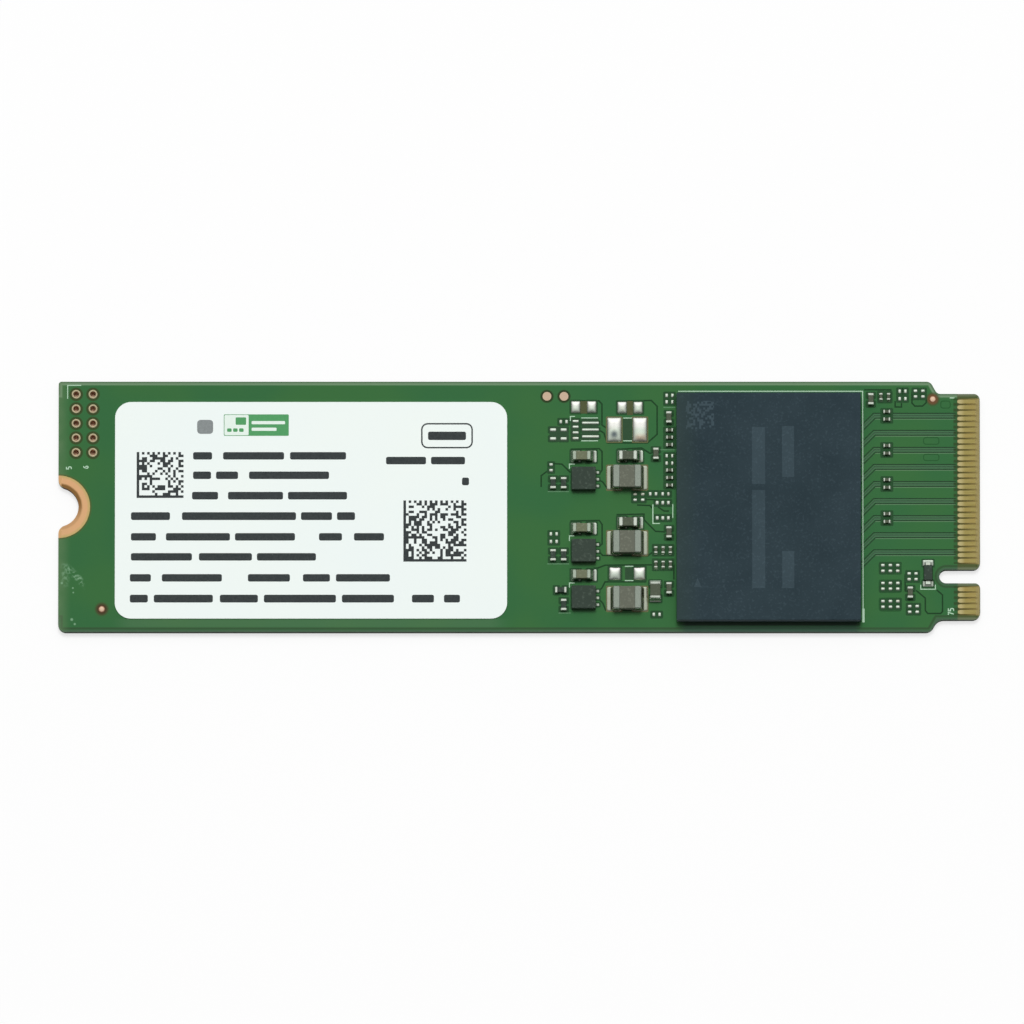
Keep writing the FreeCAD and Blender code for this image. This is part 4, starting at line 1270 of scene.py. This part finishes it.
# %% Ribbons
def ribbon(path, width, low, high):
    """A rectangle of this width, from low to high, carried along a flat path.

    At each point it is turned half way between the two runs that meet there and
    widened by one over the cosine of half the turn, which makes a mitre."""
    path = np.asarray(path, float)
    runs = np.diff(path, axis=0)
    runs = runs / np.linalg.norm(runs, axis=1)[:, None]
    before = np.vstack([runs[:1], runs])
    after = np.vstack([runs, runs[-1:]])
    ahead = before + after
    ahead = ahead / np.linalg.norm(ahead, axis=1)[:, None]
    spread = width / 2 / np.maximum((ahead * after).sum(axis=1), 0.35)
    left = np.stack([-ahead[:, 1], ahead[:, 0]], axis=1) * spread[:, None]
    sides = np.array([1, 1, -1, -1])
    heights = np.array([low, high, high, low])
    x = path[:, :1] + left[:, :1] * sides
    y = path[:, 1:] + left[:, 1:] * sides
    return skin(stack(x, y, heights))


def ribbons(paths, width, low, high):
    """Several paths, given in pixels of the photograph, as ribbons of one width."""
    return join([ribbon(spot(path), width, low, high) for path in paths])


# %% Screen printing
SILK_WIDTH = 0.08
FOOT_WIDTH = 0.2
SILK_TOP = FACE + 0.012
silk_paths = [
    [(67.4, 398.6), (67.4, 385.3), (81, 385.3)],
    [(570.4, 421), (570.4, 416.4), (575, 416.4)],
    [(581.3, 417.9), (598, 417.9)],
    [(581.3, 440.8), (598, 440.8)],
    [(569.4, 468.7), (569.4, 464.1), (574.8, 464.1)],
    [(569.4, 541), (569.4, 535.9), (574.6, 535.9)],
    [(569.4, 587.5), (569.4, 583), (574.6, 583)],
    [(623.4, 418), (632.1, 418)],
    [(623.4, 440.8), (632.1, 440.8)],
    [(652.9, 504.4), (652.9, 523.5), (660, 523.5)],
    [(672.8, 504), (672.8, 518)],
    [(920.6, 584.7), (920.6, 589.2), (935.2, 589.2), (935.2, 584.7)],
    [(624.8, 566.3), (633.3, 566.3)],
    [(624.8, 580.6), (633.3, 580.6)],
    [(678.2, 391.2), (862.9, 391.2), (862.9, 622.3)],
]
worn_paths = [
    [(547.7, 491.6), (569, 491.6)],
    [(547.2, 563.9), (569, 563.9)],
    [(558.5, 613), (570.5, 613)],
    [(663.5, 407.4), (675.5, 407.4)],
    [(660.6, 449.8), (674.5, 449.8)],
]
piece("silk_lines_worn", ribbons(worn_paths, SILK_WIDTH, FACE, SILK_TOP), faint_ink, "paper")
silk = ribbons(silk_paths, SILK_WIDTH, FACE, SILK_TOP)
frame_foot = ribbons([[(863.2, 608.5), (863.2, 622.3)]], FOOT_WIDTH, FACE, SILK_TOP + 0.002)
piece("silk_lines", join([silk, frame_foot]), silk_ink, "paper")

# %% [markdown]
# Plain pin numbers stand beside the connector and the header. Each figure is a
# short path in a box one wide and two high; turning the box a quarter turn lays
# the figure on its side, as printed here.

# %% Pin numbers
FIGURE_LINE = 0.09
FIGURES = {
    "1": [(0.5, 0), (0.5, 2)],
    "5": [(1, 2), (0.1, 2), (0.1, 1.15), (0.7, 1.2), (1, 0.85), (1, 0.35), (0.7, 0), (0.05, 0)],
    "6": [(0.9, 2), (0.4, 1.6), (0.05, 0.9), (0.1, 0.25), (0.5, 0), (0.9, 0.2), (0.9, 0.8), (0.5, 1.1),
          (0.1, 0.8)],
    "7": [(0.05, 2), (1, 2), (0.4, 0)],
}


def figure(name, corner, size):
    """A figure lying on its side: its own up is the board's left."""
    across, up = np.array(FIGURES[name], float).T * size
    path = np.array(corner) + np.stack([-up, across], axis=1)
    return ribbon(path, FIGURE_LINE, FACE, SILK_TOP)


PIN_NUMBERS = [
    ("7", (953.4, 615.0), 0.23),
    ("5", (953.4, 611.0), 0.23),
    ("1", (954.6, 399.0), 0.2),
    ("5", (71.2, 469.2), 0.21),
    ("6", (88.0, 468.4), 0.21),
]
numbers = join([figure(name, spot(corner), size) for name, corner, size in PIN_NUMBERS])
piece("pin_numbers", numbers, silk_ink, "paper")

# %% Gaps round the poured copper
GAP_WIDTH = 0.13
GAP_TOP = FACE + 0.004
GAP_BOX_CORNER = 0.2
GAP_BOX_WIDTH = 0.09
gap_paths = [
    [(572, 400.8), (599, 400.8), (602, 404), (602, 425), (606.5, 428)],
    [(600, 430.5), (604, 433), (607.2, 442.9), (647.4, 442.9), (657.2, 434.3), (657.2, 406.2),
     (651.4, 400.4), (617, 401)],
    [(570.5, 449.2), (599.2, 448.6), (602.1, 451.5), (602.1, 470), (599.2, 473.9)],
    [(617, 449.2), (641.7, 448), (649.7, 453.2), (652, 453.2)],
    [(599.2, 480.2), (602.7, 481.9), (607.2, 488.2), (615.3, 488.8)],
    [(541.2, 487), (541.2, 475.6), (547.5, 471), (549.3, 463.6)],
    [(553.3, 463.6), (561.9, 464.1), (570.4, 472.4)],
    [(570.5, 521), (599.2, 520.4), (602.1, 524.4), (602.1, 544), (599.2, 546.3)],
    [(616.4, 514.7), (644, 514.1), (644, 519.8), (655.5, 531.3), (665.2, 531.9)],
    [(599.2, 552), (602.7, 555.4), (647.4, 556), (652, 552.6)],
    [(593.5, 568), (598, 568), (605, 565.2), (673.8, 564.6), (673.8, 579.5)],
    [(599.2, 590.4), (602.1, 587.6), (605, 581.8), (646.3, 581.8)],
    [(599.2, 599.6), (602.7, 603), (605.5, 610), (647.4, 610.5)],
    [(912.2, 391.6), (912.2, 403), (915, 406), (922.7, 406), (926.5, 402.6), (926.5, 394.4)],
    [(864.5, 389.7), (891, 389.7), (892, 398)],
    [(895.4, 401), (895.4, 406.9), (901.7, 406.9), (901.7, 403)],
    [(936.6, 590), (942.3, 594.8), (942.3, 611.5), (940.4, 613.4), (927.5, 613.4), (925.1, 610.5),
     (925.1, 598.1), (916, 590.4)],
    [(905, 574.2), (905, 591.4)],
    [(644, 499.5), (654, 499.5), (656, 502)],
    [(637, 505), (650, 505.5), (652, 508)],
    [(658, 507), (664, 511), (669, 511)],
]
gap_boxes = [
    (923.7, 437.5, 939, 444.2),
    (923.7, 454.2, 939, 460.5),
    (941, 401, 950.5, 408),
    (879, 563, 901, 573.5),
    (879, 580, 901, 592.5),
    (879, 598, 901, 611),
]


def outline(left, top, right, bottom, corner, width, low, high):
    """A ribbon round a rectangle of pixels, rounded by corner and joined where it starts."""
    first, last = spot((left, bottom)), spot((right, top))
    ring = np.stack(rounded_ring(*(last - first) / 2, corner), axis=1) + (first + last) / 2
    return ribbon(np.vstack([ring, ring[:1]]), width, low, high)


gaps = ribbons(gap_paths, GAP_WIDTH, FACE, GAP_TOP)
piece("copper_gaps", gaps, gap_ink, "board")
boxes = join([outline(*box, GAP_BOX_CORNER, GAP_BOX_WIDTH, FACE, GAP_TOP) for box in gap_boxes])
piece("copper_boxes", boxes, soft_gap_ink, "board")

# %% [markdown]
# Between the pads of an empty place no copper lies under the lacquer, so it looks
# dark there, and brown in two of the gaps. These fields lie just above the
# borders, and like the words on the label they are thin bars.


# %% Lacquer between the empty lands
def bars(rows, low, high, share, edge):
    """Rounded bars for rows of words: a row's pixels give its height, a word's its length.

    A bar fills a share of its row's height, about the middle."""
    tall = [(top, bottom, left, right) for (top, bottom), words in rows.items() for left, right in words]
    top, bottom, left, right = np.array(tall).T
    trim = (1 - share) / 2 * (bottom - top)
    first = spot(np.stack([left, bottom - trim], axis=1))
    last = spot(np.stack([right, top + trim], axis=1))
    foot = np.full((len(first), 1), low)
    roof = np.full((len(first), 1), high)
    return rounded_blocks(np.hstack([first, foot]), np.hstack([last, roof]), 0.002, edge, 1)


FIELD_TOP = FACE + 0.0068
FIELD_EDGE = 0.03
deep_fields = {
    (418.5, 440.5): [(622.8, 632.4), (581.5, 598.5)],
    (567.5, 579.5): [(625, 632.5)],
    (426.5, 441.5): [(549.5, 568.5)],
    (418.8, 441): [(570.8, 579)],
}
olive_fields = {(401, 413.5): [(580.5, 587.5)], (401, 415): [(627, 633)]}
piece("deep_fields", bars(deep_fields, FACE, FIELD_TOP, 1, FIELD_EDGE), deep_ink, "board")
piece("olive_fields", bars(olive_fields, FACE, FIELD_TOP, 1, FIELD_EDGE), olive_ink, "board")

# %% [markdown]
# ## Label printing
# A drive's label carries lines of type and two square codes. Here the lines are
# plain bars, one to a word, and the codes are cells filled by a seeded draw, so
# the label has the weight of print and says nothing. The bars are the same
# rounded blocks as the chips, a few thousandths of a millimetre high.

# %% Lines of type as bars
INK_FOOT = label_high[2]
INK_TOP = INK_FOOT + 0.006
TYPE_SHARE = 0.62
TYPE_EDGE = 0.16
type_rows = {
    (454.7, 466.8): [(386, 426), (431, 465)],
    (475.4, 487.8): [(462, 469)],
    (450, 462): [(193, 212), (223, 284), (290, 346)],
    (469.4, 481.5): [(193, 211), (216, 238), (249, 329)],
    (489.7, 502): [(192, 218), (228, 283), (288, 347)],
    (510, 522.6): [(131, 170), (182, 296), (301, 332), (337, 355)],
    (531, 543): [(131, 156), (166, 230), (235, 295), (319, 342), (354, 384)],
    (551, 563): [(131, 192), (199, 252), (257, 316)],
    (572, 584): [(130, 151), (162, 222), (248, 290), (303, 330), (336, 390)],
    (592.5, 605): [(130, 148), (154, 213), (220, 258), (264, 336), (342, 394), (412, 434), (444, 460)],
}
piece("label_type", bars(type_rows, INK_FOOT, INK_TOP, TYPE_SHARE, TYPE_EDGE), dark_ink, "paper")


# %% Square codes
LEFT_CODE = (136.6, 452.2, 183.5, 498.1)
RIGHT_CODE = (403.4, 500.6, 466.5, 561.8)


def code_cells(left, top, right, bottom, count, seed):
    """Dark cells of a square: a seeded draw inside two solid and two broken edges."""
    draw = np.random.default_rng(seed).random((count, count)) < 0.5
    draw[-1, :] = True
    draw[:, 0] = True
    draw[0, :] = np.arange(count) % 2 == 0
    draw[:, -1] = np.arange(count) % 2 == 1
    row, column = np.nonzero(draw)
    wide, tall = (right - left) / count, (bottom - top) / count
    first = spot(np.stack([left + column * wide, top + (row + 1) * tall], axis=1))
    last = spot(np.stack([left + (column + 1) * wide, top + row * tall], axis=1))
    return first, last


def cells(first, last, low, high):
    """Plain thin boxes between pairs of corners."""
    middle, half = spread_out(first, last)
    x = middle[..., 0] + half[..., 0] * np.array([1, -1, -1, 1])
    y = middle[..., 1] + half[..., 1] * np.array([1, 1, -1, -1])
    return skin(stack(x, y, np.array([low, high])[:, None]))


left_code = cells(*code_cells(*LEFT_CODE, count=18, seed=4), INK_FOOT, INK_TOP)
right_code = cells(*code_cells(*RIGHT_CODE, count=24, seed=9), INK_FOOT, INK_TOP)
piece("label_codes", join([left_code, right_code]), dark_ink, "paper")

# %% Green field, outlined box and grey mark
SECOND_INK = INK_TOP + 0.002
THIRD_INK = INK_TOP + 0.004
AMOUNT_BOX = (421.8, 423.9, 472.1, 447.8)
AMOUNT_CORNER = 0.5
AMOUNT_LINE = 0.13
AMOUNT_SHARE = 0.7
green_field = {(414.5, 436): [(223.7, 288.7)]}
pale_field = {(415.1, 435.4): [(224.3, 248.5)]}
pale_lines = {(421.2, 424.4): [(251.5, 285)], (427.8, 431): [(251.5, 276.5)]}
leaf = {(417.5, 425): [(235.5, 246)], (428.5, 432): [(227, 231.5), (233, 237.5), (239, 243.5)]}
mark = {(420, 434): [(197, 213)]}
piece("label_field", bars(green_field, INK_FOOT, INK_TOP, 1, 0.1), green_ink, "paper")
pale_sheet = bars(pale_field, INK_TOP, SECOND_INK, 1, 0.1)
pale_words = bars(pale_lines, INK_TOP, SECOND_INK, 1, 0.08)
piece("label_field_lines", join([pale_sheet, pale_words]), pale_ink, "paper")
piece("label_field_leaf", bars(leaf, SECOND_INK, THIRD_INK, 1, 0.08), green_ink, "paper")
piece("label_mark", bars(mark, INK_FOOT, INK_TOP, 1, 0.3), grey_ink, "paper")

box = outline(*AMOUNT_BOX, AMOUNT_CORNER, AMOUNT_LINE, INK_FOOT, INK_TOP)
amount = bars({(430, 442): [(428, 466)]}, INK_FOOT, INK_TOP, AMOUNT_SHARE, TYPE_EDGE)
piece("label_box", join([box, amount]), dark_ink, "paper")
